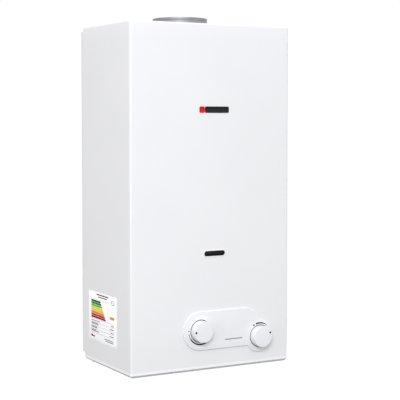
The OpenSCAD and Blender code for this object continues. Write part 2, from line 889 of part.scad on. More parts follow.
module ignition_electrode() color("ivory") translate([-electrode_x, 0, 0]) electrode(22);

module sensing_electrode() color("ivory") translate([electrode_x, 0, 0]) electrode(46);

// ---------------------------------------------------------------- gas valve

module gas_valve_body() {
    color("lightgray") difference() {
        union() {
            translate([gas_x0, axis_y - gas_half, gas_low])
                cube([gas_x1 - gas_x0, 2 * gas_half, gas_high - gas_low]);
            translate([right_x, axis_y - gas_half + eps, right_z]) bar_y(boss_out + eps, plug_r + 5);
            translate([gas_in_x, axis_y, gas_low - 8]) cylinder(h = 9, r = gas_pipe_r + 4);
            translate([gas_out_x, axis_y, gas_high - 1]) cylinder(h = 9, r = gas_pipe_r + 4);
        }
        // Chamber of the valve disc, open to the end cap
        translate([gas_x0 - eps, axis_y, rod_z]) bar_x(cavity_end - gas_x0 + eps, cavity_r);
        // Gas way, in two wells joined by the plug's bore
        translate([gas_in_x, axis_y, gas_low - 8 - eps]) cylinder(h = 14, r = gas_pipe_r);
        translate([gas_out_x, axis_y, gas_high - 6]) cylinder(h = 14 + eps, r = gas_pipe_r);
        translate([right_x, axis_y + 12, right_z])
            bar_y(gas_half + boss_out + 12 + eps, plug_r + play);
        translate([solenoid_x, axis_y, rod_z]) cylinder(h = gas_high - rod_z + eps, r = 5 + play);
    }
}

module gas_valve_cap() {
    boss = 8;
    color("silver") translate([gas_x0 - cap_t, axis_y, rod_z]) difference() {
        union() {
            bar_x(cap_t, cavity_r + 8);
            translate([-boss, 0, 0]) bar_x(boss + eps, rod_r + 5);
        }
        translate([-boss - eps, 0, 0]) bar_x(cap_t + boss + 2 * eps, rod_r + play);
    }
}

module valve_seat() {
    color("goldenrod") translate([seat_x, axis_y, rod_z]) rotate([90, 0, 90])
        linear_extrude(seat_t) ring(cavity_r, rod_r + 6);
}

module valve_disc() {
    color("black") translate([valve_disc_x + play, axis_y, rod_z]) rotate([90, 0, 90]) linear_extrude(valve_disc_t)
        ring(valve_disc_r, rod_r);
}

// Compression spring behind the disc: a six-sided wire swept along a helix
module valve_spring() {
    turns = 5;
    per_turn = 16;
    wire = 0.8;
    coil_r = 9;
    sides = 6;
    from = valve_disc_x + play + valve_disc_t + wire;
    run = cavity_end - wire - from;
    rings = turns * per_turn;
    function corner(i, k) = let (
        a = 360 * i / per_turn,
        b = 360 * k / sides,
        rr = coil_r + wire * cos(b)
    ) [from + run * i / rings + wire * sin(b), rr * cos(a), rr * sin(a)];
    color("silver") translate([0, axis_y, rod_z]) polyhedron(
        points = [for (i = [0 : rings], k = [0 : sides - 1]) corner(i, k)],
        faces = concat(
            [[for (k = [0 : sides - 1]) k]],
            [for (i = [0 : rings - 1], k = [0 : sides - 1])
                [i * sides + k, (i + 1) * sides + k,
                    (i + 1) * sides + (k + 1) % sides, i * sides + (k + 1) % sides]],
            [[for (k = [sides - 1 : -1 : 0]) rings * sides + k]]),
        convexity = 10);
}

plunger_r = 5;
plunger_low = rod_z + cavity_r + 2;
plunger_len = 42;
plunger_travel = 4;

module solenoid() {
    tall = 42;
    color("dimgray") translate([solenoid_x, axis_y, gas_high]) difference() {
        union() {
            translate([-17, -17, 0]) cube([34, 34, 2]);
            cylinder(h = tall, r = 14);
            translate([-17, -17, tall - 2]) cube([34, 34, 2]);
            translate([-17, -17, 0]) cube([2, 34, tall]);
        }
        translate([0, 0, -eps])
            cylinder(h = plunger_low + plunger_len + plunger_travel + 2 - gas_high, r = plunger_r + play);
    }
}

module solenoid_plunger() {
    color("silver") translate([solenoid_x, axis_y, plunger_low]) cylinder(h = plunger_len, r = plunger_r);
}

module threaded_stub(x, r, top) {
    translate([x, axis_y, stub_z]) linear_extrude(thread_l) ring(thread_r, r - pipe_wall);
    translate([x, axis_y, stub_z + thread_l]) linear_extrude(plate_z - 9 - stub_z - thread_l)
        ring(r + 1, r - pipe_wall);
    translate([x, axis_y, plate_z - 9]) linear_extrude(18) ring(thread_r, r - pipe_wall);
    translate([x, axis_y, plate_z + 9]) linear_extrude(top - plate_z - 9) ring(r, r - pipe_wall);
}

module gas_inlet_pipe() {
    color("goldenrod") threaded_stub(gas_in_x, gas_pipe_r, gas_low + 6);
}

module gas_outlet_pipe() {
    rise = gas_high + 60;
    color("silver") pipe([
        [gas_out_x, axis_y, gas_high - 6],
        [gas_out_x, axis_y, rise],
        [gas_out_x, manifold_y, rise],
        [gas_out_x, manifold_y, manifold_z - manifold_half - 3]
    ], gas_pipe_r, gas_pipe_r - 1.2, 17);
}

// ---------------------------------------------------------------- water valve

recess_r = 27;
recess = rod_travel + 3;
clamp_screws = 6;
lid_t = 14;
lid_x = disc_x - diaphragm_t - lid_t;

module clamp_ring(r) {
    for (i = [0 : clamp_screws - 1]) rotate([i * 360 / clamp_screws, 0, 0]) translate([0, 0, diaphragm_r - 4.5])
        children();
}

module water_valve_body() {
    color("goldenrod") difference() {
        union() {
            translate([water_x - water_half, axis_y - water_half, water_low])
                cube([2 * water_half, 2 * water_half, water_high - water_low]);
            translate([disc_x, axis_y, rod_z]) bar_x(disc_t + eps, diaphragm_r);
            translate([left_x, axis_y - water_half + eps, left_z]) bar_y(25 + eps, 11);
            translate([water_x + water_half - eps, axis_y, rod_z]) bar_x(8 + eps, 9);
            translate([water_x, axis_y, water_low - 8]) cylinder(h = 9, r = pipe_r + 5);
            translate([water_x, axis_y, water_high - 1]) cylinder(h = 7, r = pipe_r + 4);
        }
        // Diaphragm chamber, rod gland, spindle bore, water ways, drain port
        translate([disc_x - eps, axis_y, rod_z]) bar_x(recess + eps, recess_r);
        translate([disc_x, axis_y, rod_z]) bar_x(disc_t + 2 * water_half + 8 + eps, rod_r + play);
        translate([left_x, axis_y - 4 + 0.5, left_z]) bar_y(water_half + 25, spindle_r + play);
        translate([water_x, axis_y, water_low - 8 - eps]) cylinder(h = 14, r = pipe_r);
        translate([water_x, axis_y, water_high - 6]) cylinder(h = 12 + eps, r = pipe_r - 1);
        translate([water_x - 13, axis_y - water_half + 10, water_low + 7]) bar_y(11, 4);
    }
}

module water_valve_cover() {
    color("goldenrod") translate([lid_x, axis_y, rod_z]) difference() {
        bar_x(lid_t, diaphragm_r);
        translate([lid_t - recess, 0, 0]) bar_x(recess + eps, recess_r);
        translate([-eps, 0, 0]) clamp_ring() bar_x(lid_t + 2 * eps, screw_r);
    }
}

module valve_screws() {
    color("silver") {
        translate([lid_x, axis_y, rod_z]) clamp_ring() rotate([0, 90, 0])
            screw(3.5, 3, screw_r, lid_t + diaphragm_t);
        for (i = [0 : 3]) translate([gas_x0 - cap_t, axis_y, rod_z]) rotate([i * 90 + 45, 0, 0])
            translate([0, 0, cavity_r + 4]) rotate([0, 90, 0]) translate([0, 0, -2.4]) difference() {
                cylinder(h = 2.4, r = 2.8);
                translate([0, 0, -eps]) cylinder(h = 1.2, r = 1.4, $fn = 6);
            }
    }
}

// The rim is clamped all round; the rolling part between rim and plate is left as a ring gap
module diaphragm() {
    color("black") translate([disc_x - diaphragm_t, axis_y, rod_z]) difference() {
        bar_x(diaphragm_t, diaphragm_r);
        translate([-eps, 0, 0]) bar_x(diaphragm_t + 2 * eps, recess_r - 3);
        translate([-eps, 0, 0]) clamp_ring() bar_x(diaphragm_t + 2 * eps, screw_r);
    }
}

collar_x = water_x + water_half + 14;
cam_r = 6;
cam_t = 4;

// Plate in the diaphragm, rod through both valves, and a cam that works the switch
module push_rod() {
    start = disc_x - diaphragm_t;
    color("silver") translate([0, axis_y, rod_z]) {
        translate([start, 0, 0]) bar_x(2.4, recess_r - 3.6);
        translate([start, 0, 0]) bar_x(valve_disc_x + play + valve_disc_t - start, rod_r);
        translate([collar_x, 0, 0]) bar_x(cam_t, cam_r);
    }
}

module drain_plug() {
    color("goldenrod") translate([water_x - 13, axis_y - water_half, water_low + 7]) {
        translate([0, 10, 0]) bar_y(10, 4);
        rotate([90, 0, 0]) cylinder(h = 5, r = 7, $fn = 6);
        translate([-1.5, -16, -6]) cube([3, 12, 12]);
    }
}

module cold_inlet_pipe() {
    color("goldenrod") threaded_stub(water_x, pipe_r, water_low + 6);
}

// Basket in the mouth of the cold inlet
module inlet_strainer() {
    r = pipe_r - pipe_wall;
    color("silver") translate([water_x, axis_y, stub_z + 1]) difference() {
        cylinder(h = 18, r = r);
        translate([0, 0, -eps]) cylinder(h = 17, r = r - 0.8);
        for (z = [5, 9, 13], a = [0 : 3]) translate([0, 0, z]) rotate([90, 0, a * 45])
            translate([0, 0, -r - 1]) cylinder(h = 2 * r + 2, r = 0.9);
    }
}

module hot_outlet_pipe() {
    rise = base_z + 60;
    color("goldenrod") {
        pipe([
            [-chamber_x, tube_last_y, tube_z],
            [hot_x, tube_last_y, tube_z],
            [hot_x, tube_last_y, rise],
            [hot_stub_x, axis_y, rise],
            [hot_stub_x, axis_y, rise - 18]
        ], pipe_r, pipe_r - pipe_wall);
        threaded_stub(hot_stub_x, pipe_r, rise - 18);
    }
}

module lock_nuts() {
    color("silver") for (x = [hot_stub_x, water_x, gas_in_x], z = [plate_z - 6, plate_z + plate_t])
        translate([x, axis_y, z]) difference() {
            cylinder(h = 6, r = nut_r, $fn = 6);
            translate([0, 0, -eps]) cylinder(h = 6 + 2 * eps, r = thread_r);
        }
}

// ---------------------------------------------------------------- generator

module generator_housing() {
    depth = 2 * generator_half - 6;
    color("ivory") translate([water_x, axis_y + generator_half, generator_z]) difference() {
        union() {
            bar_y(depth, generator_r);
            translate([0, -generator_half, -generator_r - 5]) cylinder(h = 10, r = pipe_r + 3);
            translate([-generator_r - 12, -generator_half, 5]) bar_x(16, pipe_r + 3);
        }
        translate([0, -4, 0]) bar_y(depth, rotor_r + 1.5);
        translate([0, -1.5, 0]) bar_y(5, axle_r + play);
        translate([0, -generator_half, -generator_r - 5 - eps]) cylinder(h = 12, r = pipe_r - 1);
        translate([-generator_r - 12 - eps, -generator_half, 5]) bar_x(20, pipe_r - 1);
    }
}

module generator_cap() {
    color("dimgray") translate([water_x, axis_y - generator_half + 6, generator_z]) difference() {
        union() {
            bar_y(4, generator_r);
            translate([0, -4, 0]) bar_y(5, 10);
        }
        translate([0, eps, 0]) bar_y(5, axle_r + play);
    }
}

module turbine_rotor() {
    vanes = 8;
    back = axis_y + generator_half - 2;
    front = axis_y - generator_half + 3;
    color("steelblue") translate([water_x, 0, generator_z]) {
        translate([0, back, 0]) bar_y(back - front, axle_r);
        translate([0, back - 4, 0]) bar_y(back - front - 10, 7);
        for (i = [0 : vanes - 1]) rotate([0, i * 360 / vanes, 0])
            translate([0, front + 6, -1]) cube([rotor_r, back - front - 10, 2]);
    }
}

// ---------------------------------------------------------------- microswitch

lever_x = collar_x + cam_t + 0.6;
pivot_z = rod_z + 14;
lever_len = 10;
lever_t = 1;
lever_w = 4;
pin_r = 1;
switch_x0 = lever_x - 4;

module microswitch() {
    color("black") difference() {
        union() {
            translate([switch_x0 - 10, axis_y - 4, pivot_z + 3]) cube([24, 8, 14]);
            for (s = [-1, 1]) translate([lever_x - 2, axis_y + s * 3.5 - 0.9, pivot_z - 2]) cube([5, 1.8, 6]);
            for (i = [0 : 2]) translate([switch_x0 - 8 + i * 8, axis_y - 2, pivot_z + 17]) cube([1, 4, 5]);
            translate([water_x + water_half, axis_y - 4, pivot_z + 5]) cube([switch_x0 - 9 - water_x - water_half, 8, 10]);
        }
        translate([lever_x + 0.5, axis_y + 6, pivot_z]) bar_y(12, pin_r + play);
    }
}

module switch_lever() {
    color("silver") {
        translate([lever_x + 0.5, axis_y + 4, pivot_z]) bar_y(8, pin_r);
        translate([lever_x, axis_y - lever_w / 2, pivot_z - lever_len]) cube([lever_t, lever_w, lever_len]);
    }
}

// ---------------------------------------------------------------- electrics

module control_box() {
    wall = 2;
    color("dimgray") translate([box_x0, box_front, box_low]) {
        difference() {
            cube([box_w, -frame_t - box_front, box_hgt]);
            translate([wall, wall, wall])
                cube([box_w - 2 * wall, -frame_t - box_front - 2 * wall, box_hgt - 2 * wall]);
        }
        for (i = [0 : 3]) translate([10 + i * 17, -6, 8]) cube([10, 6, 8]);
    }
}

// Leads in bent runs, clipped all the way: electrodes, solenoid, switch, generator, flue sensor
module leads() {
    y0 = box_front - 6;
    z0 = box_low + 12;
    function port(i) = box_x0 + 15 + i * 17;
    front_run = chamber_front - 44;
    color("firebrick") {
        pipe([[port(0), y0, z0], [port(0), front_run, z0], [port(0), front_run, electrode_z],
            [-electrode_x, front_run, electrode_z], [-electrode_x, electrode_front - 6, electrode_z]],
            lead_r, 0, lead_bend);
        pipe([[port(1), y0, z0], [port(1), front_run - 8, z0], [port(1), front_run - 8, electrode_z - 14],
            [electrode_x, front_run - 8, electrode_z - 14], [electrode_x, front_run - 8, electrode_z],
            [electrode_x, electrode_front - 6, electrode_z]], lead_r, 0, 6);
    }
    color("gold") pipe([[port(2), y0, z0], [port(2), y0 - 20, z0], [port(2), y0 - 20, z0 - 14],
        [solenoid_x, y0 - 20, z0 - 14],
        [solenoid_x, y0 - 20, gas_high + 20], [solenoid_x, axis_y + 15, gas_high + 20]],
        lead_r, 0, 6);
    color("steelblue") pipe([[port(3), y0, z0], [port(3), y0 - 32, z0], [port(3), y0 - 32, generator_z],
        [water_x, y0 - 32, generator_z], [water_x, axis_y + generator_half, generator_z]],
        lead_r, 0, lead_bend);
    color("black") pipe([[port(2) + 5, box_front, z0 + 14], [port(2) + 5, box_front - 14, z0 + 14],
        [switch_x0, box_front - 14, z0 + 14], [switch_x0, axis_y + 4, z0 + 14]],
        lead_r, 0, lead_bend);
}

rear_frame();
connection_plate();
mounting_brackets();
front_cover();
cover_screws();
control_panel();
scale_marks();
window_frame();
window_glass();
nameplate();
efficiency_label();
temperature_knob();
temperature_pointer();
water_spindle();
gas_knob();
gas_pointer();
gas_spindle();
flue_collar();
draught_hood();
hood_baffle();
flue_sensor();
exchanger_shell();
exchanger_fins();
exchanger_tube();
combustion_chamber();
preheat_coil();
sight_glass();
burner_blades();
burner_frame();
gas_manifold();
injectors();
electrode_bracket();
ignition_electrode();
sensing_electrode();
gas_valve_body();
gas_valve_cap();
valve_seat();
valve_disc();
valve_spring();
solenoid();
solenoid_plunger();
gas_inlet_pipe();
gas_outlet_pipe();
water_valve_body();
water_valve_cover();
valve_screws();
diaphragm();
push_rod();
drain_plug();
cold_inlet_pipe();
inlet_strainer();
hot_outlet_pipe();
lock_nuts();
generator_housing();
generator_cap();
turbine_rotor();
microswitch();
switch_lever();
control_box();
leads();
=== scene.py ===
import json
import math
import bpy
import bmesh
import numpy as np
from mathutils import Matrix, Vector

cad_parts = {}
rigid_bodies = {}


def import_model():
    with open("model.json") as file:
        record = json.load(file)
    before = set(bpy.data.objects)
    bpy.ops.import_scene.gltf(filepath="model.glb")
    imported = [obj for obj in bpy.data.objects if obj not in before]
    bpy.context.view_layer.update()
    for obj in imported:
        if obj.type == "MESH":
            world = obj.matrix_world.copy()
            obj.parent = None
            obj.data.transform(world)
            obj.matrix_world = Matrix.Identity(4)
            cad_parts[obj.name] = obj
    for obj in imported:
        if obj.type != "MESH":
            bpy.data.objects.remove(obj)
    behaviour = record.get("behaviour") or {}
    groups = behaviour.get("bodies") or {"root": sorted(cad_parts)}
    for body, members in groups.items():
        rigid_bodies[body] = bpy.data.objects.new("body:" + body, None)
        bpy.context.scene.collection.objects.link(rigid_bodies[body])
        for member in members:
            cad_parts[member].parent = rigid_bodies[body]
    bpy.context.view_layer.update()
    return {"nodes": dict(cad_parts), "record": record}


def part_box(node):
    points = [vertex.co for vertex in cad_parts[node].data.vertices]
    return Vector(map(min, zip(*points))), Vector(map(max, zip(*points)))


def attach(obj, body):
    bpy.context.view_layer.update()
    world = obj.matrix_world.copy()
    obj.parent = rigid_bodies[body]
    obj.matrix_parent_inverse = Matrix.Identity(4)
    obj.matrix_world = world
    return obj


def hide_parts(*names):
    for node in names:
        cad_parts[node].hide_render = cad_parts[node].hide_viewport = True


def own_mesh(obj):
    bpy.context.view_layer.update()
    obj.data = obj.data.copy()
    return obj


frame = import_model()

print("frame loaded:", len(frame["nodes"]), "nodes")

# One entry per finish. Sizes are in metres, and all patterns are laid out on Object coordinates.
# colours: two or more tones mixed by cloudy noise of scale patch; with fade they follow the height
#   between its two levels instead, broken up by the same noise
# rough: range of the roughness; grain: scale and depth of the bump; cells: scale of the zinc crystals
# coat: lacquer; stretch: scale of the pattern along each axis; through: clearness; last, the glow is painted
# light: an emission that brightens the surface though it is no lamp
finishes = {
    "enamel": dict(colours=[(0.862, 0.861, 0.868), (0.842, 0.841, 0.849)], patch=5, rough=(0.30, 0.38),
                   grain=(420, 0.00002), coat=0.35, coatRough=0.12),
    "frameCoat": dict(colours=[(0.848, 0.847, 0.852), (0.80, 0.80, 0.804)], patch=9, rough=(0.40, 0.52),
                      grain=(900, 0.00006)),
    "mouldedWhite": dict(colours=[(0.86, 0.86, 0.875), (0.835, 0.835, 0.85)], patch=30, rough=(0.34, 0.44),
                         grain=(2600, 0.00002)),
    "galvanised": dict(colours=[(0.52, 0.53, 0.55), (0.64, 0.65, 0.67), (0.47, 0.48, 0.51)], patch=26,
                       rough=(0.24, 0.50), grain=(300, 0.00003), metal=1.0, cells=95),
    "flueMetal": dict(colours=[(0.27, 0.27, 0.29), (0.38, 0.38, 0.40), (0.31, 0.31, 0.335)], patch=9,
                      rough=(0.46, 0.60), grain=(300, 0.00002), metal=1.0),
    "zincPlate": dict(colours=[(0.72, 0.70, 0.62), (0.60, 0.61, 0.64), (0.75, 0.72, 0.60)], patch=34,
                      rough=(0.24, 0.40), grain=(900, 0.00002), metal=1.0),
    "copper": dict(colours=[(0.72, 0.33, 0.20), (0.55, 0.22, 0.13), (0.80, 0.42, 0.28)], patch=22,
                   rough=(0.22, 0.46), grain=(240, 0.00006), metal=1.0),
    "hotCopper": dict(colours=[(0.13, 0.075, 0.07), (0.30, 0.12, 0.10), (0.62, 0.27, 0.17),
                               (0.74, 0.36, 0.22)],
                      patch=14, rough=(0.28, 0.60), grain=(160, 0.00008), metal=1.0, fade=(-0.15, 0.06)),
    "brass": dict(colours=[(0.68, 0.49, 0.22), (0.55, 0.38, 0.16), (0.78, 0.60, 0.30)], patch=40,
                  rough=(0.26, 0.48), grain=(700, 0.00008), metal=1.0),
    "dieCast": dict(colours=[(0.55, 0.56, 0.58), (0.42, 0.43, 0.45), (0.62, 0.62, 0.63)], patch=50,
                    rough=(0.38, 0.58), grain=(1100, 0.00012), metal=1.0),
    "stainless": dict(colours=[(0.56, 0.56, 0.57), (0.47, 0.46, 0.47), (0.63, 0.62, 0.61)], patch=60,
                      rough=(0.22, 0.38), grain=(500, 0.00003), metal=1.0, stretch=(1, 30, 1)),
    "hotStainless": dict(colours=[(0.50, 0.49, 0.49), (0.44, 0.40, 0.36), (0.38, 0.28, 0.20),
                                  (0.20, 0.20, 0.30)],
                         patch=40, rough=(0.26, 0.46), grain=(500, 0.00004), metal=1.0,
                         fade=(-0.19, -0.141)),
    "springSteel": dict(colours=[(0.42, 0.42, 0.44), (0.30, 0.30, 0.33)], patch=120, rough=(0.22, 0.36),
                        grain=(1500, 0.00002), metal=1.0),
    "blackPlastic": dict(colours=[(0.010, 0.010, 0.011), (0.018, 0.018, 0.020)], patch=60,
                         rough=(0.46, 0.62), grain=(2200, 0.00005), gloss=0.35),
    "ivoryPlastic": dict(colours=[(0.72, 0.69, 0.58), (0.64, 0.60, 0.48)], patch=30, rough=(0.36, 0.50),
                         grain=(1800, 0.00003)),
    "bluePlastic": dict(colours=[(0.05, 0.14, 0.36), (0.04, 0.10, 0.28)], patch=60, rough=(0.30, 0.44),
                        grain=(1600, 0.00003)),
    "ceramic": dict(colours=[(0.82, 0.79, 0.72), (0.72, 0.67, 0.58)], patch=90, rough=(0.12, 0.24),
                    grain=(260, 0.00003), coat=0.6, coatRough=0.06),
    "rubber": dict(colours=[(0.018, 0.018, 0.018), (0.034, 0.033, 0.032)], patch=140, rough=(0.62, 0.82),
                   grain=(2600, 0.00008)),
    "darkGlass": dict(colours=[(0.014, 0.012, 0.016), (0.008, 0.008, 0.010)], patch=24, rough=(0.10, 0.20),
                      grain=(60, 0.00002), gloss=0.16),
    "sightGlass": dict(colours=[(0.80, 0.86, 0.86), (0.70, 0.78, 0.78)], patch=30, rough=(0.02, 0.08),
                       grain=(80, 0.00002), through=0.85),
    "printInk": dict(colours=[(0.012, 0.012, 0.016), (0.022, 0.022, 0.028)], patch=300, rough=(0.50, 0.64),
                     grain=(4000, 0.00001), gloss=0.15),
    "plateBlack": dict(colours=[(0.010, 0.010, 0.011), (0.018, 0.018, 0.019)], patch=160,
                       rough=(0.26, 0.38), grain=(1500, 0.00001), gloss=0.25),
    "plateRed": dict(colours=[(0.72, 0.010, 0.010), (0.60, 0.006, 0.006)], patch=160, rough=(0.26, 0.38),
                     grain=(1500, 0.00001), gloss=0.25),
    "greyInk": dict(colours=[(0.24, 0.24, 0.25), (0.30, 0.30, 0.31)], patch=300, rough=(0.45, 0.60),
                    grain=(4000, 0.00001)),
    # painted shade: near-black, for the rings that fill the gaps round the knobs
    "felt": dict(colours=[(0.020, 0.020, 0.022), (0.045, 0.045, 0.048)], patch=900, rough=(0.85, 0.98),
                 grain=(2400, 0.0001)),
    # the label film glows: painted light that brightens it beyond what the lamps give
    "labelFilm": dict(colours=[(0.985, 0.985, 0.985), (0.965, 0.965, 0.97)], patch=60, rough=(0.34, 0.46),
                      grain=(1800, 0.00001), paintedGlow=0.13),
    "siliconeRed": dict(colours=[(0.42, 0.04, 0.03), (0.32, 0.03, 0.025)], patch=200, rough=(0.40, 0.55),
                        grain=(1500, 0.00004)),
}

# Which finish each of the record's slots takes, then the nodes that differ from their slot
slotFinish = {
    "white_enamel": "enamel", "frame_paint": "frameCoat", "white_plastic": "mouldedWhite",
    "galvanised": "galvanised", "zinc": "zincPlate",
    "copper": "copper", "brass": "brass", "die_cast": "dieCast", "stainless": "stainless",
    "black_plastic": "blackPlastic", "ivory_plastic": "ivoryPlastic", "blue_plastic": "bluePlastic",
    "ceramic_white": "ceramic", "rubber_black": "rubber", "clear_glass": "sightGlass",
    "print_dark": "printInk", "plate_dark": "plateBlack", "label_paper": "labelFilm",
    "lead_red": "siliconeRed",
}
nodeFinish = {
    "combustion_chamber": "hotCopper", "burner_blades": "hotStainless", "valve_spring": "springSteel",
}
# How every finish is mixed: the share of clouds over a fade and of crystals over clouds, the part of the
# noise that the colours spread over, and the scale and range of the smudges that vary the polish
pattern = {"cloudShare": 0.5, "crystalShare": 0.55, "cloudRange": (0.36, 0.64), "smudgeRatio": 2.7,
           "smudgeBase": 6, "smudgeRange": (0.3, 0.7)}


def mapRange(nodes, start, end=(0.0, 1.0)):  # a node that turns one range of values into another
    node = nodes.new("ShaderNodeMapRange")
    for key, value in zip(("From Min", "From Max", "To Min", "To Max"), (*start, *end)):
        node.inputs[key].default_value = value
    return node


def makeFinish(name, colours, patch, rough, grain, metal=0.0, coat=0.0, coatRough=0.1,
               cells=None, fade=None, stretch=(1, 1, 1), through=0.0, paintedGlow=0.0, gloss=0.5):
    material = bpy.data.materials.new(name)
    material.use_nodes = True
    tree = material.node_tree
    shader = tree.nodes["Principled BSDF"]
    shader.inputs["Metallic"].default_value = metal
    shader.inputs["Coat Weight"].default_value = coat
    shader.inputs["Coat Roughness"].default_value = coatRough
    shader.inputs["Transmission Weight"].default_value = through
    shader.inputs["Specular IOR Level"].default_value = gloss
    shader.inputs["Emission Color"].default_value = (1, 1, 1, 1)
    # painted light: an emission that brightens the surface though it is no lamp
    shader.inputs["Emission Strength"].default_value = paintedGlow

    def add(kind, **settings):
        node = tree.nodes.new(kind)
        for key, value in settings.items():
            if key in node.inputs:
                node.inputs[key].default_value = value
            else:
                setattr(node, key, value)
        return node

    join = tree.links.new
    place = add("ShaderNodeTexCoord")
    spread = add("ShaderNodeMapping")
    spread.inputs["Scale"].default_value = stretch
    join(place.outputs["Object"], spread.inputs["Vector"])

    def texture(kind, **settings):
        node = add("ShaderNodeTex" + kind, **settings)
        join(spread.outputs["Vector"], node.inputs["Vector"])
        return node

    clouds = texture("Noise", Scale=patch, Detail=5.0, Roughness=0.6)
    amount = clouds.outputs["Fac"]
    if fade:  # tones follow the height, broken up by the clouds
        height = add("ShaderNodeSeparateXYZ")
        join(place.outputs["Object"], height.inputs["Vector"])
        rise = mapRange(tree.nodes, fade)
        join(height.outputs["Z"], rise.inputs["Value"])
        uneven = add("ShaderNodeMath", operation="MULTIPLY_ADD")
        join(clouds.outputs["Fac"], uneven.inputs[0])
        uneven.inputs[1].default_value = pattern["cloudShare"]
        uneven.inputs[2].default_value = -pattern["cloudShare"] / 2
        total = add("ShaderNodeMath", operation="ADD")
        join(rise.outputs["Result"], total.inputs[0])
        join(uneven.outputs["Value"], total.inputs[1])
        amount = total.outputs["Value"]
    if cells:  # crystals of the zinc coating
        crystals = texture("Voronoi", Scale=cells)
        tone = add("ShaderNodeSeparateColor")
        join(crystals.outputs["Color"], tone.inputs["Color"])
        blend = add("ShaderNodeMix", data_type="FLOAT")
        blend.inputs[0].default_value = pattern["crystalShare"]
        join(amount, blend.inputs[2])
        join(tone.outputs["Red"], blend.inputs[3])
        amount = blend.outputs[0]

    ramp = add("ShaderNodeValToRGB")
    stops = ramp.color_ramp.elements
    first, last = (0.0, 1.0) if fade else pattern["cloudRange"]
    stops[0].position, stops[1].position = first, last
    stops[0].color, stops[1].color = (*colours[0], 1), (*colours[-1], 1)
    for i, colour in enumerate(colours[1:-1], start=1):
        stops.new(first + (last - first) * i / (len(colours) - 1)).color = (*colour, 1)
    join(amount, ramp.inputs["Fac"])
    join(ramp.outputs["Color"], shader.inputs["Base Color"])

    smudge = texture("Noise", Scale=patch * pattern["smudgeRatio"] + pattern["smudgeBase"], Detail=3.0)
    polish = mapRange(tree.nodes, pattern["smudgeRange"], rough)
    join(smudge.outputs["Fac"], polish.inputs["Value"])
    join(polish.outputs["Result"], shader.inputs["Roughness"])

    fine = texture("Noise", Scale=grain[0], Detail=2.0)
    bump = add("ShaderNodeBump", Strength=1.0, Distance=grain[1])
    join(fine.outputs["Fac"], bump.inputs["Height"])
    join(bump.outputs["Normal"], shader.inputs["Normal"])
    return material


ready = {}


def finish(name):
    if name not in ready:
        ready[name] = makeFinish(name, **finishes[name])
    return ready[name]


def ink(name, colour):  # a printed colour, slightly uneven
    darker = tuple(0.8 * c for c in colour)
    finishes[name] = dict(colours=[colour, darker], patch=240, rough=(0.5, 0.62), grain=(3000, 0.00001),
                          gloss=0.12)
    return finish(name)


for part in frame["record"]["subparts"]:
    name = part["node"]
    material = finish(nodeFinish.get(name, slotFinish[part["material_slot"]]))
    mesh = frame["nodes"][name].data
    mesh.materials.clear()
    mesh.materials.append(material)
print("finishes on the frame's own nodes:", len(ready))

# Distance within which points merge, then angles in degrees: faces taken as flat, edges kept sharp on
# reworked meshes, and edges that get broken
meshing = {"merge": 1e-6, "flat": 0.5, "sharp": 30, "broken": 40}
inScene = bpy.context.scene.collection.objects


def gridFaces(rows, columns, closedRows=False, closedColumns=False):
    # quads between neighbouring rows and columns of a grid of points, wrapping round where closed
    r = np.arange(rows if closedRows else rows - 1)[:, None]
    c = np.arange(columns if closedColumns else columns - 1)[None, :]
    nextRow, nextColumn = (r + 1) % rows, (c + 1) % columns
    corners = [r * columns + c, r * columns + nextColumn,
               nextRow * columns + nextColumn, nextRow * columns + c]
    return np.stack(corners, axis=-1).reshape(-1, 4).tolist()


def surface(points, closedRows=False, closedColumns=False, capFirst=False, capLast=False):
    # one patch: a grid of points with its quads, its first and last rows closed by flat faces if asked
    rows, columns = points.shape[:2]
    faces = gridFaces(rows, columns, closedRows, closedColumns)
    if capFirst:
        faces.append(list(range(columns))[::-1])
    if capLast:
        faces.append(list(range((rows - 1) * columns, rows * columns)))
    return points.reshape(-1, 3), faces


def closedBlock(points):  # rows that run round, with a flat face over the first and the last
    return surface(points, closedColumns=True, capFirst=True, capLast=True)


def closedRing(points):  # a closed section carried round a closed path
    return surface(points, closedRows=True, closedColumns=True)


def makePiece(name, patches, material, body, replaces=(), sharp=35, marks=None):
    # joins patches into one mesh, merges it and turns its faces outwards, then ties it to body and slot;
    # marks gives each patch its place in a list of materials
    points, faces, owner, start = [], [], [], 0
    for i, (spots, quads) in enumerate(patches):
        points.append(spots)
        faces += [[k + start for k in quad] for quad in quads]
        owner += [marks[i] if marks else 0] * len(quads)
        start += len(spots)
    mesh = bpy.data.meshes.new(name)
    mesh.from_pydata(np.concatenate(points).tolist(), [], faces)
    for item in material if isinstance(material, list) else [material]:
        mesh.materials.append(item)
    mesh.polygons.foreach_set("material_index", np.array(owner, dtype=np.int32))
    work = bmesh.new()
    work.from_mesh(mesh)
    bmesh.ops.remove_doubles(work, verts=work.verts, dist=meshing["merge"])
    bmesh.ops.recalc_face_normals(work, faces=work.faces)
    work.to_mesh(mesh)
    work.free()
    piece = bpy.data.objects.new(name, mesh)
    inScene.link(piece)
    smooth(piece, sharp)
    if body:
        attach(piece, body)
    if replaces:
        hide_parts(*replaces)
    return piece


def smooth(piece, sharp):
    piece.data.shade_smooth()
    piece.data.set_sharp_from_angle(angle=math.radians(sharp))


def settle(piece, sharp, cutters):
    # works the piece's modifiers into its mesh, after cutting the cutters out of it
    for cutter in cutters:
        cut = piece.modifiers.new("cut", "BOOLEAN")
        cut.operation, cut.solver, cut.object = "DIFFERENCE", "EXACT", cutter
    evaluated = piece.evaluated_get(bpy.context.evaluated_depsgraph_get())
    shaped = bpy.data.meshes.new_from_object(evaluated)
    piece.modifiers.clear()
    piece.data = shaped
    for cutter in cutters:
        bpy.data.objects.remove(cutter)
    smooth(piece, sharp)


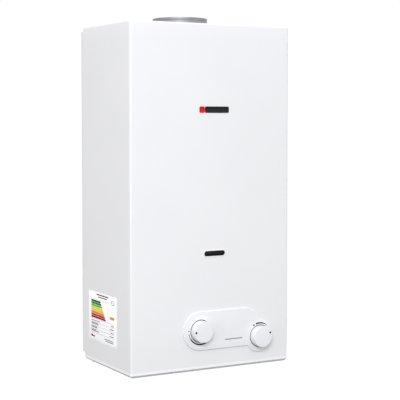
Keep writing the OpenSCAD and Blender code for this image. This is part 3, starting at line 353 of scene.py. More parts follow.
def turned(profile, centre, columns=96):
    # a profile of (radius, y) carried round the axis through centre = (x, z), which runs along Y
    profile = np.array(profile, dtype=float)
    turn = np.linspace(0, 2 * np.pi, columns, endpoint=False)
    radius, y = profile[:, :1], profile[:, 1:]
    x, z = centre[0] + radius * np.cos(turn), centre[1] + radius * np.sin(turn)
    return np.stack([x, y + 0 * turn, z], axis=-1)


def raised(profile, centre, columns=96):
    # a profile of (radius, z) carried round the upright axis through centre = (x, y)
    return turned(profile, centre, columns)[..., [0, 2, 1]]


def quarter(centre, radius, start, end, steps=6):
    # points of (across, along) on an arc between two angles in degrees
    a = np.radians(np.linspace(start, end, steps + 1))
    return np.stack([centre[0] + radius * np.cos(a), centre[1] + radius * np.sin(a)], axis=-1)


def stadium(width, height, centre, inset=0.0, steps=16):
    # outline of a slot with round ends, moved in by inset, as (x, z)
    radius = height / 2 - inset
    run = (width - height) / 2
    right = quarter((centre[0] + run, centre[1]), radius, -90, 90, steps)
    left = quarter((centre[0] - run, centre[1]), radius, 90, 270, steps)
    return np.concatenate([right, left])


def roundRect(width, height, radius, centre, inset=0.0, steps=6, least=0.0002):
    # outline of a rectangle with round corners, moved in by inset; least is the smallest corner radius
    w, h, r = width / 2 - inset, height / 2 - inset, max(radius - inset, least)
    corners = [(1, 1, 0), (-1, 1, 90), (-1, -1, 180), (1, -1, 270)]
    return np.concatenate([
        quarter((centre[0] + sx * (w - r), centre[1] + sz * (h - r)), r, a, a + 90, steps)
        for sx, sz, a in corners])


def plateRows(outline, profile):
    # an outline in the X-Z plane carried through a profile of (inset, y)
    return np.stack([np.column_stack([o[:, 0], np.full(len(o), y), o[:, 1]])
                     for o, y in ((outline(inset), y) for inset, y in profile)])


def prism(outline, y0, y1):  # a closed block with that X-Z outline, for cutting
    return closedBlock(plateRows(lambda inset: outline, [(0, y0), (0, y1)]))


def cutter(patches):
    return makePiece("cutter", patches, [], None)


def span(node):  # lowest corner, highest corner and middle of one of the frame's nodes
    low, high = (np.array(corner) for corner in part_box(node))
    return low, high, (low + high) / 2


def camel(node):
    first, *others = node.split("_")
    return first + "".join(word.capitalize() for word in others)


# Places taken from the frame
coverLow, coverHigh = span("front_cover")[:2]
panelLow, gasMid = span("control_panel")[0], span("gas_knob")[2]
knobLow, knobHigh, knobMid = span("temperature_knob")
collarLow, collarHigh, collarMid = span("flue_collar")
glassLow, glassHigh, glassMid = span("window_glass")
plateLow, plateHigh, plateMid = span("nameplate")
labelLow, labelHigh, labelMid = span("efficiency_label")
knobRadius = (knobHigh[0] - knobLow[0]) / 2
tempAxis = (knobMid[0], knobMid[2])
gasAxis = (gasMid[0], gasMid[2])
knobTip = knobLow[1]
panelFace = panelLow[1]
coverFace = coverLow[1]

cover = {"sheet": 0.001, "bend": 0.0045, "rearCorner": 0.016, "lip": 0.014, "lipEdge": (0.001, 0.0002),
         "foot": 0.0052, "footIn": 0.0052, "footSteps": (0.8, 0.5, 0.2, 0.1, 0.03),
         # heights above the base where the hem starts, stands furthest out and ends
         "hem": [0.006, 0.0105, 0.06], "hemStart": 0.0003, "hemOut": 0.0009,
         "knobHole": 0.0255, "flueHole": 0.0665, "flueNotch": 0.01, "topStrip": 0.03, "cut": 0.004,
         "sharp": 32}


def coverOutline(inset):
    # the cover seen from above, walked from the left rear edge round the front to the right rear edge;
    # an inset moves it inwards, and the front corners are arcs until the inset passes their bend
    half, bend = coverHigh[0], cover["bend"]
    corner = max(bend, inset)
    side = np.linspace(0, 1, 26)
    front = np.linspace(-1, 1, 62)[1:-1]
    arc = np.radians(np.linspace(180, 270, 10))
    leftX = np.full(side.shape, inset - half)
    leftY = coverHigh[1] + (coverFace + corner - coverHigh[1]) * side
    cornerX = (corner - half) + (corner - inset) * np.cos(arc)
    cornerY = coverFace + corner + (corner - inset) * np.sin(arc)
    frontX, frontY = front * (half - corner), np.full(front.shape, coverFace + inset)
    x = np.concatenate([leftX, cornerX, frontX, -cornerX[::-1], -leftX[::-1]])
    y = np.concatenate([leftY, cornerY, frontY, cornerY[::-1], leftY[::-1]])
    return x, y


def coverShell():
    # the outline is carried up a profile of (inset, height): lip, sloping foot, hem that stands a little
    # proud of the wall above it, wall, top bend, top strip; low down the rear edge draws forward along a
    # quarter circle, which rounds the lower rear corners
    base, top, bend, corner = coverLow[2], coverHigh[2], cover["bend"], cover["rearCorner"]
    foot, footIn, (across, up) = cover["foot"], cover["footIn"], cover["lipEdge"]
    hem, hemTop = cover["hem"], cover["hem"][-1]
    rows = [(cover["lip"], base), (footIn + across, base), (footIn, base + up)]
    rows += [(s * footIn, base + foot * (1 - s)) for s in cover["footSteps"]]
    rise = np.concatenate([np.linspace(foot + cover["hemStart"], corner, 12),
                           np.linspace(corner, hemTop, 7)[1:],
                           np.linspace(hemTop, top - bend - base, 24)[1:-1]])
    rows += np.column_stack([np.interp(rise, hem, [0, cover["hemOut"], 0]), base + rise]).tolist()
    rows += quarter((bend, top - bend), bend, 180, 90, 6).tolist()
    rows += [(cover["topStrip"], top)]
    grid = []
    for inset, z in rows:
        x, y = coverOutline(inset)
        height = min(max(z - base, 0.0), corner)
        rear = coverHigh[1] - (corner - math.sqrt(corner ** 2 - (corner - height) ** 2))
        y = coverFace + (y - coverFace) * (rear - coverFace) / (coverHigh[1] - coverFace)
        grid.append(np.stack([x, y, np.full(x.shape, z)], axis=-1))
    return surface(np.stack(grid), capLast=True)


shell = makePiece("coverShell", [coverShell()], finish("enamel"), "cover", ["front_cover"])
thickness = shell.modifiers.new("sheet", "SOLIDIFY")
thickness.thickness, thickness.offset = cover["sheet"], -1
cut = cover["cut"]
notchEnd = coverHigh[1] + cover["flueNotch"]
flueWay = np.concatenate([
    quarter((0, collarMid[1]), cover["flueHole"], 180, 360, 40),
    [[cover["flueHole"], notchEnd], [-cover["flueHole"], notchEnd]]])
flueBlock = np.stack([np.column_stack([flueWay, np.full(len(flueWay), z)])
                      for z in (coverHigh[2] - cut, coverHigh[2] + cut)])
hole = quarter((0, 0), cover["knobHole"], 0, 360, 72)[:-1]
slotSize = (glassHigh[0] - glassLow[0], glassHigh[2] - glassLow[2])
slotCentre = (glassMid[0], glassMid[2])
openings = [prism(outline, coverFace - cut, coverFace + cut)
            for outline in (hole + tempAxis, hole + gasAxis, stadium(*slotSize, slotCentre))]
settle(shell, cover["sharp"], [cutter([opening]) for opening in openings + [closedBlock(flueBlock)]])
print("cover done")

panel = {"endRadius": 0.0428, "run": 0.1125, "lobeRadius": 0.036, "gap": 0.0002, "edge": 0.0011,
         "holeEdge": 0.0004, "holeEdgeFrom": 60, "sharp": 35}


def panelOutline(inset):
    # union of a stadium and a disc round the right knob, as arcs that meet where the circles cross
    big, small = panel["endRadius"] - inset, panel["lobeRadius"] - inset
    left, right, lobe = np.array(tempAxis), np.array(tempAxis) + (panel["run"], 0), np.array(gasAxis)
    drop = left[1] - big - lobe[1]
    lineMeet = np.degrees(math.atan2(drop, -math.sqrt(small ** 2 - drop ** 2)))
    gap = np.linalg.norm(lobe - right)
    along = (big ** 2 - small ** 2 + gap ** 2) / (2 * gap)
    ahead = (lobe - right) / gap
    meet = right + along * ahead + math.sqrt(big ** 2 - along ** 2) * np.array([-ahead[1], ahead[0]])
    onLobe = np.degrees(math.atan2(*(meet - lobe)[::-1]))
    onEnd = np.degrees(math.atan2(*(meet - right)[::-1]))
    return np.concatenate([
        quarter(left, big, 90, 270, 40),
        quarter(lobe, small, lineMeet, onLobe, 48),
        quarter(right, big, onEnd, 90, 16)])


def raisedPanel():
    # the outline carried up a straight side and round a quarter circle to the flat face
    edge, back = panel["edge"], coverFace + panel["gap"]
    profile = [(0.0, back), (0.0, panelFace + edge)]
    profile += [(edge - edge * math.cos(a), panelFace + edge - edge * math.sin(a))
                for a in np.radians(np.linspace(15, 90, 6))]
    return closedBlock(plateRows(panelOutline, profile))


board = makePiece("controlPanel", [raisedPanel()], finish("mouldedWhite"), "cover",
                  ["control_panel"])
settle(board, panel["sharp"], [cutter([prism(hole + axis, coverFace + cut, panelFace - cut)])
                               for axis in (tempAxis, gasAxis)])
softEdge = board.modifiers.new("hole edges", "BEVEL")
softEdge.width, softEdge.segments = panel["holeEdge"], 2
softEdge.angle_limit = math.radians(panel["holeEdgeFrom"])
print("control panel done")

knob = {"faceDrop": 0.0007, "edge": 0.0016, "draft": 0.0003, "wall": 0.0022, "hub": 0.008, "bore": 0.00406,
        "boreDepth": 0.0202, "backEdge": 0.0004,
        # the face's groove: how far in it lies, its two sides from there, its depth
        "grooveIn": 0.0030, "grooveSides": (0.0003, 0.0007), "grooveDepth": 0.0001,
        # corners of the hollow back, as distance from the wall or the hub and depth from the tip
        "atWall": [(-0.0004, 0.0045), (-0.002, 0.003)], "atHub": [(0.001, 0.003), (0.0, 0.004)]}
pointer = {"rise": 0.00022, "sink": 0.00012, "backShare": 0.9, "backDepth": 0.0004}
# sizes of the near-black ring set in the gap round each knob, painted shade in that gap
felt = {"gap": 0.0002, "set": 0.0009, "thick": 0.0018, "edge": 0.0002}


def knobSurface(axis):
    # the knob's section turned about its axis: crowned face, fine groove, round edge, drafted side, and
    # a hollow back with a bored hub
    r, tip, back = knobRadius - knob["draft"], knobTip, knobHigh[1]
    drop, edge, small, floorAt = knob["faceDrop"], knob["edge"], knob["backEdge"], knob["boreDepth"]
    inner, hub, bore = knobRadius - knob["wall"], knob["hub"], knob["bore"]
    groove, (near, far), deep = r - knob["grooveIn"], knob["grooveSides"], knob["grooveDepth"]
    section = [(s * groove, tip + drop * (s * groove / r) ** 2) for s in np.linspace(0.0, 1.0, 12)]
    section += [(groove + near, tip + drop + deep), (groove + far, tip + drop - deep)]
    section += quarter((r - edge, tip + drop + edge), edge, 270, 360, 8).tolist()
    section += [(knobRadius, back - small), (knobRadius - small, back), (inner, back)]
    section += [(inner + across, tip + depth) for across, depth in knob["atWall"]]
    section += [(hub + across, tip + depth) for across, depth in knob["atHub"]]
    section += [(hub, back), (bore, back), (bore, back - floorAt), (0.0, back - floorAt)]
    return surface(turned(section, axis, 128), closedColumns=True)


def pointerDot(axis, node):
    # a low dome of paint on the crowned face, where the frame has its dot
    low, high, middle = span(node)
    centre, radius = (middle[0], middle[2]), (high[0] - low[0]) / 2
    level = knobTip + knob["faceDrop"] * (math.dist(axis, centre) / knobRadius) ** 2
    back = level + pointer["backDepth"]
    dome = [(radius * s, level - pointer["rise"] * math.sqrt(max(1 - s ** 4, 0)) + pointer["sink"])
            for s in np.linspace(0, 1, 8)]
    dome += [(radius * pointer["backShare"], back), (0, back)]
    return surface(turned(dome, centre, 32), closedColumns=True)


def gapShadeRing(axis):  # a near-black ring set in the gap round a knob, painted shade in that gap; its inner edge broken
    inner, outer, edge = knobRadius + felt["gap"], cover["knobHole"], felt["edge"]
    front = panelFace + felt["set"]
    back = front + felt["thick"]
    section = [(inner, back), (inner, front + edge), (inner + edge, front), (outer, front), (outer, back)]
    return closedRing(turned(section, axis))


for body, node, dot, axis in (("temperature_control", "temperature_knob", "temperature_pointer", tempAxis),
                              ("gas_control", "gas_knob", "gas_pointer", gasAxis)):
    makePiece(camel(node), [knobSurface(axis)], finish("mouldedWhite"), body, [node])
    makePiece(camel(dot), [pointerDot(axis, dot)], finish("printInk"), body, [dot])
# near-black rings that paint the shade in the gaps round the knobs
makePiece("knobGapShades", [gapShadeRing(tempAxis), gapShadeRing(gasAxis)], finish("felt"), "cover")
print("knobs done")

scale = {"radius": 0.0295, "thickness": 0.00012, "sink": 0.0001, "edgeIn": 0.00005, "edgeShare": 0.7,
         # centre, start and end angle, width at each end
         "bands": [("left", 188, 214, 0.0009, 0.0012), ("left", 214, 299, 0.0028, 0.0034),
                   ("right", 109, 72, 0.0036, 0.0028), ("right", 72, 48, 0.0022, 0.0008)],
         # centre, angle, radius
         "dots": [("left", 176, 0.0013), ("left", 308, 0.0014), ("right", 121, 0.0021)],
         # across, width, height
         "dash": (0.0540, 0.046, 0.0022)}


def scaleBand(axis, start, end, wide0, wide1):
    # a strip along a circle whose width changes evenly from one end to the other
    t = np.linspace(0, 1, 40)
    angle = np.radians(start + (end - start) * t)
    half = (wide0 + (wide1 - wide0) * t) / 2
    out, inside = scale["radius"] + half, scale["radius"] - half
    high, low = panelFace - scale["thickness"], panelFace + scale["sink"]
    section = [(inside, low), (inside, high), (out, high), (out, low)]
    return closedBlock(np.stack([
        np.stack([axis[0] + r * np.cos(angle), np.full(t.shape, y), axis[1] + r * np.sin(angle)], axis=-1)
        for r, y in section], axis=1))


def panelMark(outline):  # a flat printed shape standing on the panel's face
    thick = scale["thickness"]
    return closedBlock(plateRows(outline, [
        (0.0, panelFace + scale["sink"]), (0.0, panelFace - thick * scale["edgeShare"]),
        (scale["edgeIn"], panelFace - thick)]))


axes = {"left": tempAxis, "right": gasAxis}
marks = [scaleBand(axes[side], *rest) for side, *rest in scale["bands"]]
for side, angle, radius in scale["dots"]:
    way = np.array([math.cos(math.radians(angle)), math.sin(math.radians(angle))])
    spot = np.array(axes[side]) + scale["radius"] * way
    marks.append(panelMark(lambda inset: quarter(spot, radius - inset, 0, 360, 24)[:-1]))
makePiece("scaleMarks", marks, finish("printInk"), "cover", ["scale_marks"])
dashX, dashWidth, dashHeight = scale["dash"]
dash = panelMark(lambda inset: stadium(dashWidth, dashHeight, (dashX, gasAxis[1]), inset))
makePiece("panelDash", [dash], finish("greyInk"), "cover")
print("scales done")

window = {"rimWidth": 0.0026, "rimSet": 0.1, "rimRise": 0.0008, "sharp": 60,
          # sections of liner and pane: inset from the slot's edge, depth behind the cover's face
          "liner": [(0.0001, 0.0002), (0.0011, 0.0004), (0.0022, 0.002), (0.0022, 0.0085), (0.0001, 0.0085)],
          "pane": [(0.0019, 0.0058), (0.0019, 0.0032), (0.0025, 0.0028)]}


def slotRows(profile):  # a profile of (inset, depth behind the cover's face) carried round the slot
    return plateRows(lambda inset: stadium(*slotSize, slotCentre, inset, 28),
                     [(inset, coverFace + depth) for inset, depth in profile])


rim = [(window["rimWidth"] * (math.cos(a) * -0.5 - window["rimSet"]), -window["rimRise"] * math.sin(a))
       for a in np.radians(np.linspace(-20, 200, 14))]
makePiece("windowRim", [closedRing(slotRows(rim))], finish("enamel"), "cover",
          sharp=window["sharp"])
makePiece("windowLiner", [closedRing(slotRows(window["liner"]))], finish("blackPlastic"), "cover",
          ["window_frame"])
makePiece("windowPane", [closedBlock(slotRows(window["pane"]))], finish("darkGlass"), "cover",
          ["window_glass"], sharp=window["sharp"])
print("window done")

badge = {"corner": 0.003, "edge": 0.0004, "edgeShare": 0.3, "tab": 0.013, "gap": 0.0008, "sink": 0.0001,
         "border": 0.0014, "inlay": 0.00012, "inlayRun": 0.0002}
badgeWidth, badgeHeight = plateHigh[0] - plateLow[0], plateHigh[2] - plateLow[2]
badgeFace = plateLow[1]
tabCentre = (plateLow[0] + badge["tab"] / 2, plateMid[2])
barWidth = badgeWidth - badge["tab"] - badge["gap"]
barCentre = (plateHigh[0] - barWidth / 2, plateMid[2])


def badgePlate(width, centre):
    # a round-cornered plate carried through a profile: side, broken edge, border, inlay set slightly back
    edge, part, border = badge["edge"], badge["edge"] * badge["edgeShare"], badge["border"]
    profile = [(0.0, coverFace + badge["sink"]), (0.0, badgeFace + edge), (part, badgeFace + part),
               (edge, badgeFace), (border, badgeFace),
               (border + badge["inlayRun"], badgeFace + badge["inlay"])]
    return closedBlock(plateRows(
        lambda inset: roundRect(width, badgeHeight, badge["corner"], centre, inset), profile))


makePiece("nameplateBar", [badgePlate(barWidth, barCentre)], finish("plateBlack"), "cover",
          ["nameplate"])
makePiece("nameplateTab", [badgePlate(badge["tab"], tabCentre)], finish("plateRed"), "cover")
print("nameplate done")

# The label's prints are laid out in millimetres from its front lower corner: towards the rear, and up
label = {"film": 0.00014, "filmShare": 0.7, "filmEdge": 0.0001, "print": 0.00005, "sink": 0.00005,
         "set": 0.0003, "corner": 0.002,
         # one colour for each bar, from the top; each bar lies a step lower and reaches further forward
         "bars": [(0.003, 0.10, 0.025), (0.010, 0.24, 0.03), (0.20, 0.52, 0.02), (0.90, 0.82, 0.01),
                  (0.96, 0.68, 0.01), (0.90, 0.25, 0.005), (0.58, 0.012, 0.006), (0.30, 0.002, 0.005)],
         "topBar": (87, 88.2, 137, 92.8), "barStep": 5.2, "barReach": 27, "barPoint": 1.8,
         # lines that stand for print: thickness, their lows, starts and ends
         "lines": [(0.4, (42, 34, 26, 18), [12] * 4, [140] * 4),
                   (1.7, (45, 37, 29, 21), (90, 97, 104, 95), [137] * 4),
                   (1.4, (39.5, 31.5, 23.5), (100, 105, 110), [137] * 3),
                   (1.7, (45, 37, 29, 21), [16] * 4, (32, 37, 33, 38)),
                   (1.7, (7, 11), (18, 18), (60, 66))],
         # piece, ink, its colour, and shapes as (front, low, rear, high) with the length of a point if any
         "prints": [
             ("labelTag", "tagOrange", (0.85, 0.36, 0.02), [(15, 60, 37, 66, 3)]),
             ("labelTitles", "labelBlack", (0.02, 0.02, 0.022),
              [(44, 105.4, 108, 108.0), (52, 100.6, 100, 102.9), (15, 92.6, 27, 93.8), (15, 101.2, 27, 102.4),
               (13.4, 93.2, 14.8, 101.8), (27.2, 93.2, 28.6, 101.8)]),
             ("labelRules", "labelGrey", (0.15, 0.15, 0.16),
              [(12, 97, 34, 97.5), (40, 95, 140, 95.5), (46.8, 52, 47.3, 95), (12, 50, 140, 50.5)]),
             ("labelEdge", "labelEdgeGrey", (0.50, 0.50, 0.51),
              [(2, 2, 150, 2.5), (2, 109.5, 150, 110), (2, 2.55, 2.5, 109.45), (149.5, 2.55, 150, 109.45)]),
             ("labelCorner", "cornerRed", (0.30, 0.01, 0.015), [(129, 8, 138, 13)]),
             ("labelFoot", "labelBlack", (0.02, 0.02, 0.022), [(117, 8, 128, 11)])]}
labelBack = labelLow[0] + label["set"]


def sideBlock(rows):  # a closed block whose rows are an outline of (y, z) and its x
    return closedBlock(np.stack([np.column_stack([np.full(len(o), x), o]) for o, x in rows]))


def labelMark(front, low, rear, high, point=0):
    # a flat shape printed on the label, with an arrow point of that length towards the front
    front, rear, point = labelLow[1] + front / 1000, labelLow[1] + rear / 1000, point / 1000
    low, high = labelLow[2] + low / 1000, labelLow[2] + high / 1000
    outline = [[rear, low], [front, low], [front, high], [rear, high]]
    if point:
        outline.insert(2, [front - point, (low + high) / 2])
    face = labelBack - label["film"]
    return sideBlock([(outline, face + label["sink"]), (outline, face - label["print"])])


def filmOutline(inset):
    size = labelHigh - labelLow
    return roundRect(size[1], size[2], label["corner"], (labelMid[1], labelMid[2]), inset)


filmRows = [(filmOutline(0), labelBack), (filmOutline(0), labelBack - label["film"] * label["filmShare"]),
            (filmOutline(label["filmEdge"]), labelBack - label["film"])]
makePiece("labelFilm", [sideBlock(filmRows)], finish("labelFilm"), "cover",
          ["efficiency_label"])
barInks = [ink("barInk%d" % i, colour) for i, colour in enumerate(label["bars"])]
front, low, rear, high = label["topBar"]
bars = [labelMark(front - label["barReach"] * i / (len(barInks) - 1), low - label["barStep"] * i,
                  rear, high - label["barStep"] * i, label["barPoint"]) for i in range(len(barInks))]
makePiece("labelBars", bars, barInks, "cover", marks=list(range(len(bars))))
lines = [(start, low, end, low + thick) for thick, lows, starts, ends in label["lines"]
         for low, start, end in zip(lows, starts, ends)]
for name, inkName, colour, shapes in label["prints"]:
    if name == "labelRules":
        shapes = shapes + lines
    makePiece(name, [labelMark(*shape) for shape in shapes], ink(inkName, colour), "cover")
print("label done")

collar = {"radius": 0.0625, "sheet": 0.001, "grooveAt": 0.0065, "grooveDepth": 0.0006, "grooveHalf": 0.0015,
          "hem": 0.0008, "hemShare": 0.62, "hemDepth": 0.002,
          # thickness of the flange, and the fillet over it as distance from the wall and height
          "flange": 0.0012, "fillet": [(0.0008, 0.0015), (0.0, 0.0023)]}


def collarSection():
    # flange, fillet, outer wall with a rolled groove near the top, hemmed rim, inner wall
    low, high, wide = collarLow[2], collarHigh[2], collarHigh[0]
    outer, hem, mid = collar["radius"], collar["hem"], collarHigh[2] - collar["grooveAt"]
    inner = outer - collar["sheet"]
    foot = [(wide, low), (wide, low + collar["flange"])]
    foot += [(outer + out, low + up) for out, up in collar["fillet"]]
    groove = [(outer - collar["grooveDepth"] * math.sin(a),
               mid + collar["grooveHalf"] * (a / math.pi - 0.5) * 2) for a in np.linspace(0, math.pi, 9)]
    rim = [(outer - hem * (1 - math.cos(a)) * collar["hemShare"], high - hem * (1 - math.sin(a)))
           for a in np.radians(np.linspace(0, 180, 9))]
    return foot + groove + rim + [(inner, high - collar["hemDepth"]), (inner, low)]


makePiece("flueCollar", [closedRing(raised(collarSection(), (0, collarMid[1]), 160))],
          finish("flueMetal"), "heater", ["flue_collar"])
print("collar done")

bodyOf = {node: body for body, nodes in frame["record"]["behaviour"]["bodies"].items() for node in nodes}


def reworked(node, width, cutters=()):
    # a merged copy of the frame's own mesh with flat faces joined up, cut if asked, and edges broken
    mesh = frame["nodes"][node].data.copy()
    work = bmesh.new()
    work.from_mesh(mesh)
    bmesh.ops.remove_doubles(work, verts=work.verts, dist=meshing["merge"])
    bmesh.ops.dissolve_limit(work, angle_limit=math.radians(meshing["flat"]),
                             verts=work.verts, edges=work.edges)
    work.to_mesh(mesh)
    work.free()
    piece = bpy.data.objects.new(camel(node), mesh)
    inScene.link(piece)
    if cutters:
        settle(piece, meshing["sharp"], cutters)
    smooth(piece, meshing["sharp"])
    broken = piece.modifiers.new("broken edges", "BEVEL")
    broken.width, broken.segments, broken.angle_limit = width, 2, math.radians(meshing["broken"])
    broken.harden_normals = True
    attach(piece, bodyOf[node])
    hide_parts(node)
    return piece


# Width of the broken edge on folded sheet, castings, nuts and mouldings
brokenEdges = {
    "rear_frame": 0.0004, "connection_plate": 0.0003, "mounting_brackets": 0.0003, "draught_hood": 0.0004,
    "combustion_chamber": 0.0004, "exchanger_shell": 0.0004, "burner_frame": 0.0003, "gas_manifold": 0.0008,
    "gas_valve_body": 0.0012, "gas_valve_cap": 0.0009, "water_valve_body": 0.0012,
    "water_valve_cover": 0.001, "lock_nuts": 0.0006, "drain_plug": 0.0005, "generator_housing": 0.0008,
    "generator_cap": 0.001, "microswitch": 0.0005, "solenoid": 0.0004, "control_box": 0.0014,
    "flue_sensor": 0.0003,
}
for node, width in brokenEdges.items():
    reworked(node, width)
print("broken edges done")

relief = {"sink": 0.0001, "bead": 0.0014, "beadRun": 0.003, "beadWide": 0.009, "beadEnd": 0.018,
          "sideRows": [-0.023, 0.050, 0.085], "frontRows": [0.050, 0.085],
          "rivet": 0.0026, "rivetRise": 0.0013, "rivetIn": 0.008, "rivetEnd": 0.03}


def standing(outline, profile, toSide=False):
    # an outline carried through a profile of (inset, level); level is Y, or X on a side wall
    rows = plateRows(outline, profile)
    return closedBlock(rows[..., [1, 0, 2]] if toSide else rows)


def rounded(base, rise, run, steps=6):
    # profile of a swaged bead: it leaves the wall gently and flattens at full height
    s = np.linspace(0, 1, steps)
    return [(run * t, base + rise * (3 * t ** 2 - 2 * t ** 3)) for t in s]


# Swaged beads that stiffen the chamber walls, clear of the coil
boxLow, boxHigh, boxMid = span("combustion_chamber")
sink, bead, run = relief["sink"], relief["bead"], relief["beadRun"]
frontSize, sideSize = ((boxHigh[i] - boxLow[i] - 2 * relief["beadEnd"], relief["beadWide"]) for i in (0, 1))
beads = [standing(lambda inset: stadium(*frontSize, (0, z), inset), rounded(boxLow[1] + sink, -bead, run))
         for z in relief["frontRows"]]
for z in relief["sideRows"]:
    for wall, sign in ((boxLow[0] + sink, -1), (boxHigh[0] - sink, 1)):
        beads.append(standing(lambda inset: stadium(*sideSize, (boxMid[1], z), inset),
                              rounded(wall, sign * bead, run), toSide=True))
makePiece("chamberBeads", beads, finish("hotCopper"), "heater", sharp=50)

# Blind rivets down the draught hood's corners
hoodLow, hoodHigh = span("draught_hood")[:2]
dome = [(relief["rivet"] * math.sin(a), relief["rivetRise"] * math.cos(a))
        for a in np.linspace(0, math.pi / 2, 6)] + [(0, 0)]


def domeHead(level, centre, size=1.0):  # a low dome that stands on a face towards -Y
    return surface(turned([(r * size, level - h) for r, h in dome], centre, 24), closedColumns=True)


rivets = [domeHead(hoodLow[1] + sink, (x, z))
          for z in np.linspace(hoodLow[2] + relief["rivetEnd"], hoodHigh[2] - relief["rivetEnd"], 3)
          for x in (hoodLow[0] + relief["rivetIn"], hoodHigh[0] - relief["rivetIn"])]
makePiece("hoodRivets", rivets, finish("springSteel"), "heater")

# Lid of the control box: a plate with pressed ribs and four screws
lid = {"set": 0.006, "around": (0.006, 0.024), "fromTop": 0.003, "corner": 0.004, "thick": 0.0014,
       "edge": 0.0004, "ribs": 5, "ribFirst": -0.016, "ribStep": 0.008, "ribShare": 0.62, "ribWide": 0.003,
       "ribRise": 0.0008, "ribRun": 0.001, "screwIn": 0.006, "screwSize": 1.1}
caseLow, caseHigh, caseMid = span("control_box")
lidBack = caseLow[1] + lid["set"]
lidFront = lidBack - lid["thick"]
lidSize = (caseHigh[0] - caseLow[0] - lid["around"][0], caseHigh[2] - caseLow[2] - lid["around"][1])
lidCentre = (caseMid[0], caseHigh[2] - lid["fromTop"] - lidSize[1] / 2)
lidParts = [standing(lambda inset: roundRect(*lidSize, lid["corner"], lidCentre, inset),
                     [(0, lidBack + sink), (0, lidFront + lid["edge"]), (lid["edge"], lidFront)])]
for i in range(lid["ribs"]):
    spot = (lidCentre[0], lidCentre[1] + lid["ribFirst"] + lid["ribStep"] * i)
    lidParts.append(standing(
        lambda inset: stadium(lidSize[0] * lid["ribShare"], lid["ribWide"], spot, inset),
        rounded(lidFront + sink, -lid["ribRise"], lid["ribRun"], 4)))
makePiece("boxLid", lidParts, finish("blackPlastic"), "heater")
screwX, screwZ = (side / 2 - lid["screwIn"] for side in lidSize)
screws = [domeHead(lidFront + sink, lidCentre + np.array([sx * screwX, sz * screwZ]), lid["screwSize"])
          for sx in (-1, 1) for sz in (-1, 1)]
makePiece("lidScrews", screws, finish("zincPlate"), "heater")
print("chamber beads, rivets and box lid done")

# crest and flank shape the thread's section: how much of a pitch is cut away, and how steeply
thread = {"length": 0.016, "pitch": 0.001814, "depth": 0.0011, "crest": 1.35, "flank": 1.7,
          "chamfer": 0.0012, "mouth": 0.0004, "cutRadius": 0.013, "cutBelow": 0.001, "footBand": 0.0005,
          "edge": 0.0003, "sharp": 50, "pipes": ["cold_inlet_pipe", "hot_outlet_pipe", "gas_inlet_pipe"]}


def threadedEnd(centre, bore, crest, low):
    # a helix as a function of turn and height: the radius falls and rises once per pitch, and both ends
    # are chamfered; the bore closes the section
    length, mouth = thread["length"], thread["mouth"]
    turn = np.linspace(0, 2 * np.pi, 72, endpoint=False)[None, :]
    height = np.linspace(0, length, 112)[:, None]
    phase = (height / thread["pitch"] - turn / (2 * np.pi)) % 1.0
    fall = np.clip(thread["crest"] - np.abs(2 * phase - 1) * thread["flank"], 0, 1)
    near = np.minimum(height, length - height)
    radius = np.minimum(crest - thread["depth"] * fall, crest - thread["chamfer"] + near)
    x, y = centre[0] + radius * np.cos(turn), centre[1] + radius * np.sin(turn)
    outside = np.stack([x, y, low + height + 0 * turn], axis=-1)
    inside = raised([(bore, low + length), (bore, low + mouth), (bore + mouth, low)], centre, 72)
    return closedRing(np.concatenate([outside, inside]))


for node in thread["pipes"]:
    points = np.array([tuple(v.co) for v in frame["nodes"][node].data.vertices])
    low = points[:, 2].min()
    foot = points[points[:, 2] < low + thread["footBand"], :2]
    centre = (foot.min(axis=0) + foot.max(axis=0)) / 2
    reach = np.linalg.norm(foot - centre, axis=1)
    block = closedBlock(raised([(thread["cutRadius"], low - thread["cutBelow"]),
                                (thread["cutRadius"], low + thread["length"])], centre, 48))
    kept = reworked(node, thread["edge"], [cutter([block])])
    makePiece(camel(node) + "Thread", [threadedEnd(centre, reach.min(), reach.max(), low)],
              kept.data.materials[0], bodyOf[node], sharp=thread["sharp"])
print("threads done")

spring = {"wire": 0.0008, "turns": [0, 1, 5.5, 6.5], "travel": 0.0051, "rows": 168, "sharp": 60}


def coil(low, high):
    # a round wire carried along a helix: the end turns lie closed, the rest share the length evenly
    wire, turns = spring["wire"], spring["turns"]
    turn = np.linspace(0, turns[-1], spring["rows"])[:, None]
    around = np.linspace(0, 2 * np.pi, 10, endpoint=False)[None, :]
    middle, radius = (low + high) / 2, (high[2] - low[2]) / 2 - wire
    ends = [low[0] + wire, low[0] + 3 * wire, high[0] - 3 * wire, high[0] - wire]
    x = np.interp(turn, turns, ends) + wire * np.sin(around)
    out = radius + wire * np.cos(around)
    y, z = middle[1] + out * np.cos(2 * np.pi * turn), middle[2] + out * np.sin(2 * np.pi * turn)
    return closedBlock(np.stack([x, y, z], axis=-1))


springLow, springHigh, springMid = span("valve_spring")
valveSpring = makePiece("valveSpring", [coil(springLow, springHigh)], finish("springSteel"), "heater",
                        ["valve_spring"], sharp=spring["sharp"])
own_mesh(valveSpring)
print("valve spring done")

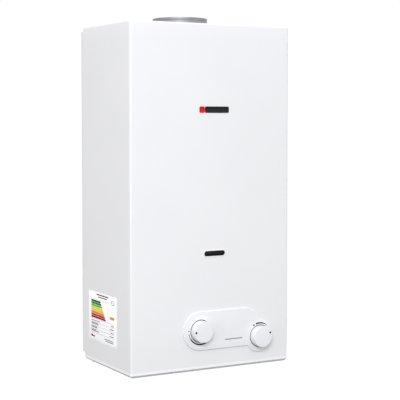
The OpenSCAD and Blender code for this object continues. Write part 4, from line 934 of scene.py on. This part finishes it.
# Stage, lights and camera; the floor fades out between two distances, and lift is its own light
floor = {"height": -0.58, "rings": [0.02, 0.6, 1.2, 2.0, 3.0], "fade": (0.30, 1.5),
         "tone": (0.90, 0.90, 0.90, 1), "rough": 0.9, "lift": 0.22}
spokes = np.linspace(0, 2 * np.pi, 96, endpoint=False)
reach = np.array(floor["rings"])[:, None]
ground = np.stack([reach * np.cos(spokes), reach * np.sin(spokes), floor["height"] + 0 * reach * spokes],
                  axis=-1)
floorPiece = makePiece("floor", [surface(ground, closedColumns=True, capFirst=True)], [], None)
pale = bpy.data.materials.new("paleFloor")
pale.use_nodes = True
nodes, links = pale.node_tree.nodes, pale.node_tree.links
base = nodes["Principled BSDF"]
base.inputs["Base Color"].default_value = floor["tone"]
base.inputs["Roughness"].default_value = floor["rough"]
base.inputs["Emission Color"].default_value = (1, 1, 1, 1)
base.inputs["Emission Strength"].default_value = floor["lift"]
place, far = nodes.new("ShaderNodeTexCoord"), nodes.new("ShaderNodeVectorMath")
far.operation = "LENGTH"
thin = mapRange(nodes, floor["fade"])
clear, mixed = nodes.new("ShaderNodeBsdfTransparent"), nodes.new("ShaderNodeMixShader")
for start, end in ((place.outputs["Object"], far.inputs[0]), (far.outputs["Value"], thin.inputs["Value"]),
                   (thin.outputs["Result"], mixed.inputs[0]), (base.outputs[0], mixed.inputs[1]),
                   (clear.outputs[0], mixed.inputs[2]),
                   (mixed.outputs[0], nodes["Material Output"].inputs["Surface"])):
    links.new(start, end)
floorPiece.data.materials.append(pale)
floorPiece.visible_diffuse = floorPiece.visible_glossy = False  # so the case's underside stays in shade

# The camera sees a plain white background; the surfaces are lit by a fill that is weaker from below
studio = {"background": 1.0, "fill": (0.995, 0.993, 1.0), "above": 0.965, "below": 0.26,
          "slope": (-0.5, 0.2),
          # name, place, aimed at, size, watts, colour
          "lamps": [("softKey", (-1.5, -2.6, 1.3), (0.0, -0.2, -0.05), 1.2, 46, (0.93, 0.95, 1.0)),
                    ("leftStrip", (-2.4, -1.3, -0.2), (-0.2, -0.2, -0.1), 0.4, 3.5, (1.0, 1.0, 0.99))]}
world = bpy.data.worlds.new("studio")
world.use_nodes = True
bpy.context.scene.world = world
skyNodes = world.node_tree.nodes
seen = skyNodes["Background"]
seen.inputs["Color"].default_value = (1, 1, 1, 1)
seen.inputs["Strength"].default_value = studio["background"]
fill = skyNodes.new("ShaderNodeBackground")
fill.inputs["Color"].default_value = (*studio["fill"], 1)
toSky, sides = skyNodes.new("ShaderNodeTexCoord"), skyNodes.new("ShaderNodeSeparateXYZ")
upward = mapRange(skyNodes, studio["slope"], (studio["below"], studio["above"]))
ray, either = skyNodes.new("ShaderNodeLightPath"), skyNodes.new("ShaderNodeMixShader")
for start, end in ((toSky.outputs["Generated"], sides.inputs["Vector"]),
                   (sides.outputs["Z"], upward.inputs["Value"]),
                   (upward.outputs["Result"], fill.inputs["Strength"]),
                   (ray.outputs["Is Camera Ray"], either.inputs[0]), (fill.outputs[0], either.inputs[1]),
                   (seen.outputs[0], either.inputs[2]),
                   (either.outputs[0], skyNodes["World Output"].inputs["Surface"])):
    world.node_tree.links.new(start, end)


def aimed(thing, place, target):  # turns the lamp's -Z from place towards target
    way = np.array(target) - np.array(place)
    thing.location = place
    tilt, turn = math.acos(-way[2] / np.linalg.norm(way)), math.atan2(way[1], way[0]) - math.pi / 2
    thing.rotation_euler = (tilt, 0, turn)


for name, spot, target, size, watts, colour in studio["lamps"]:
    lamp = bpy.data.lights.new(name, "AREA")
    lamp.shape, lamp.size, lamp.energy, lamp.color = "SQUARE", size, watts, colour
    holder = bpy.data.objects.new(name, lamp)
    inScene.link(holder)
    aimed(holder, spot, target)
bpy.context.scene.view_settings.view_transform = "Standard"

view = {"place": (-1.2654, -2.4742, 0.1724), "turn": 29.147, "tilt": 2.989, "lens": 104.3, "sensor": 36,
        "shift": -0.05}
camera = bpy.data.objects.new("camera", bpy.data.cameras.new("camera"))
camera.data.lens, camera.data.sensor_width = view["lens"], view["sensor"]
camera.data.shift_y = view["shift"]
camera.location = view["place"]
camera.rotation_euler = (math.radians(90 - view["tilt"]), 0, math.radians(-view["turn"]))
inScene.link(camera)
bpy.context.scene.camera = camera
print("stage, lights and camera done")
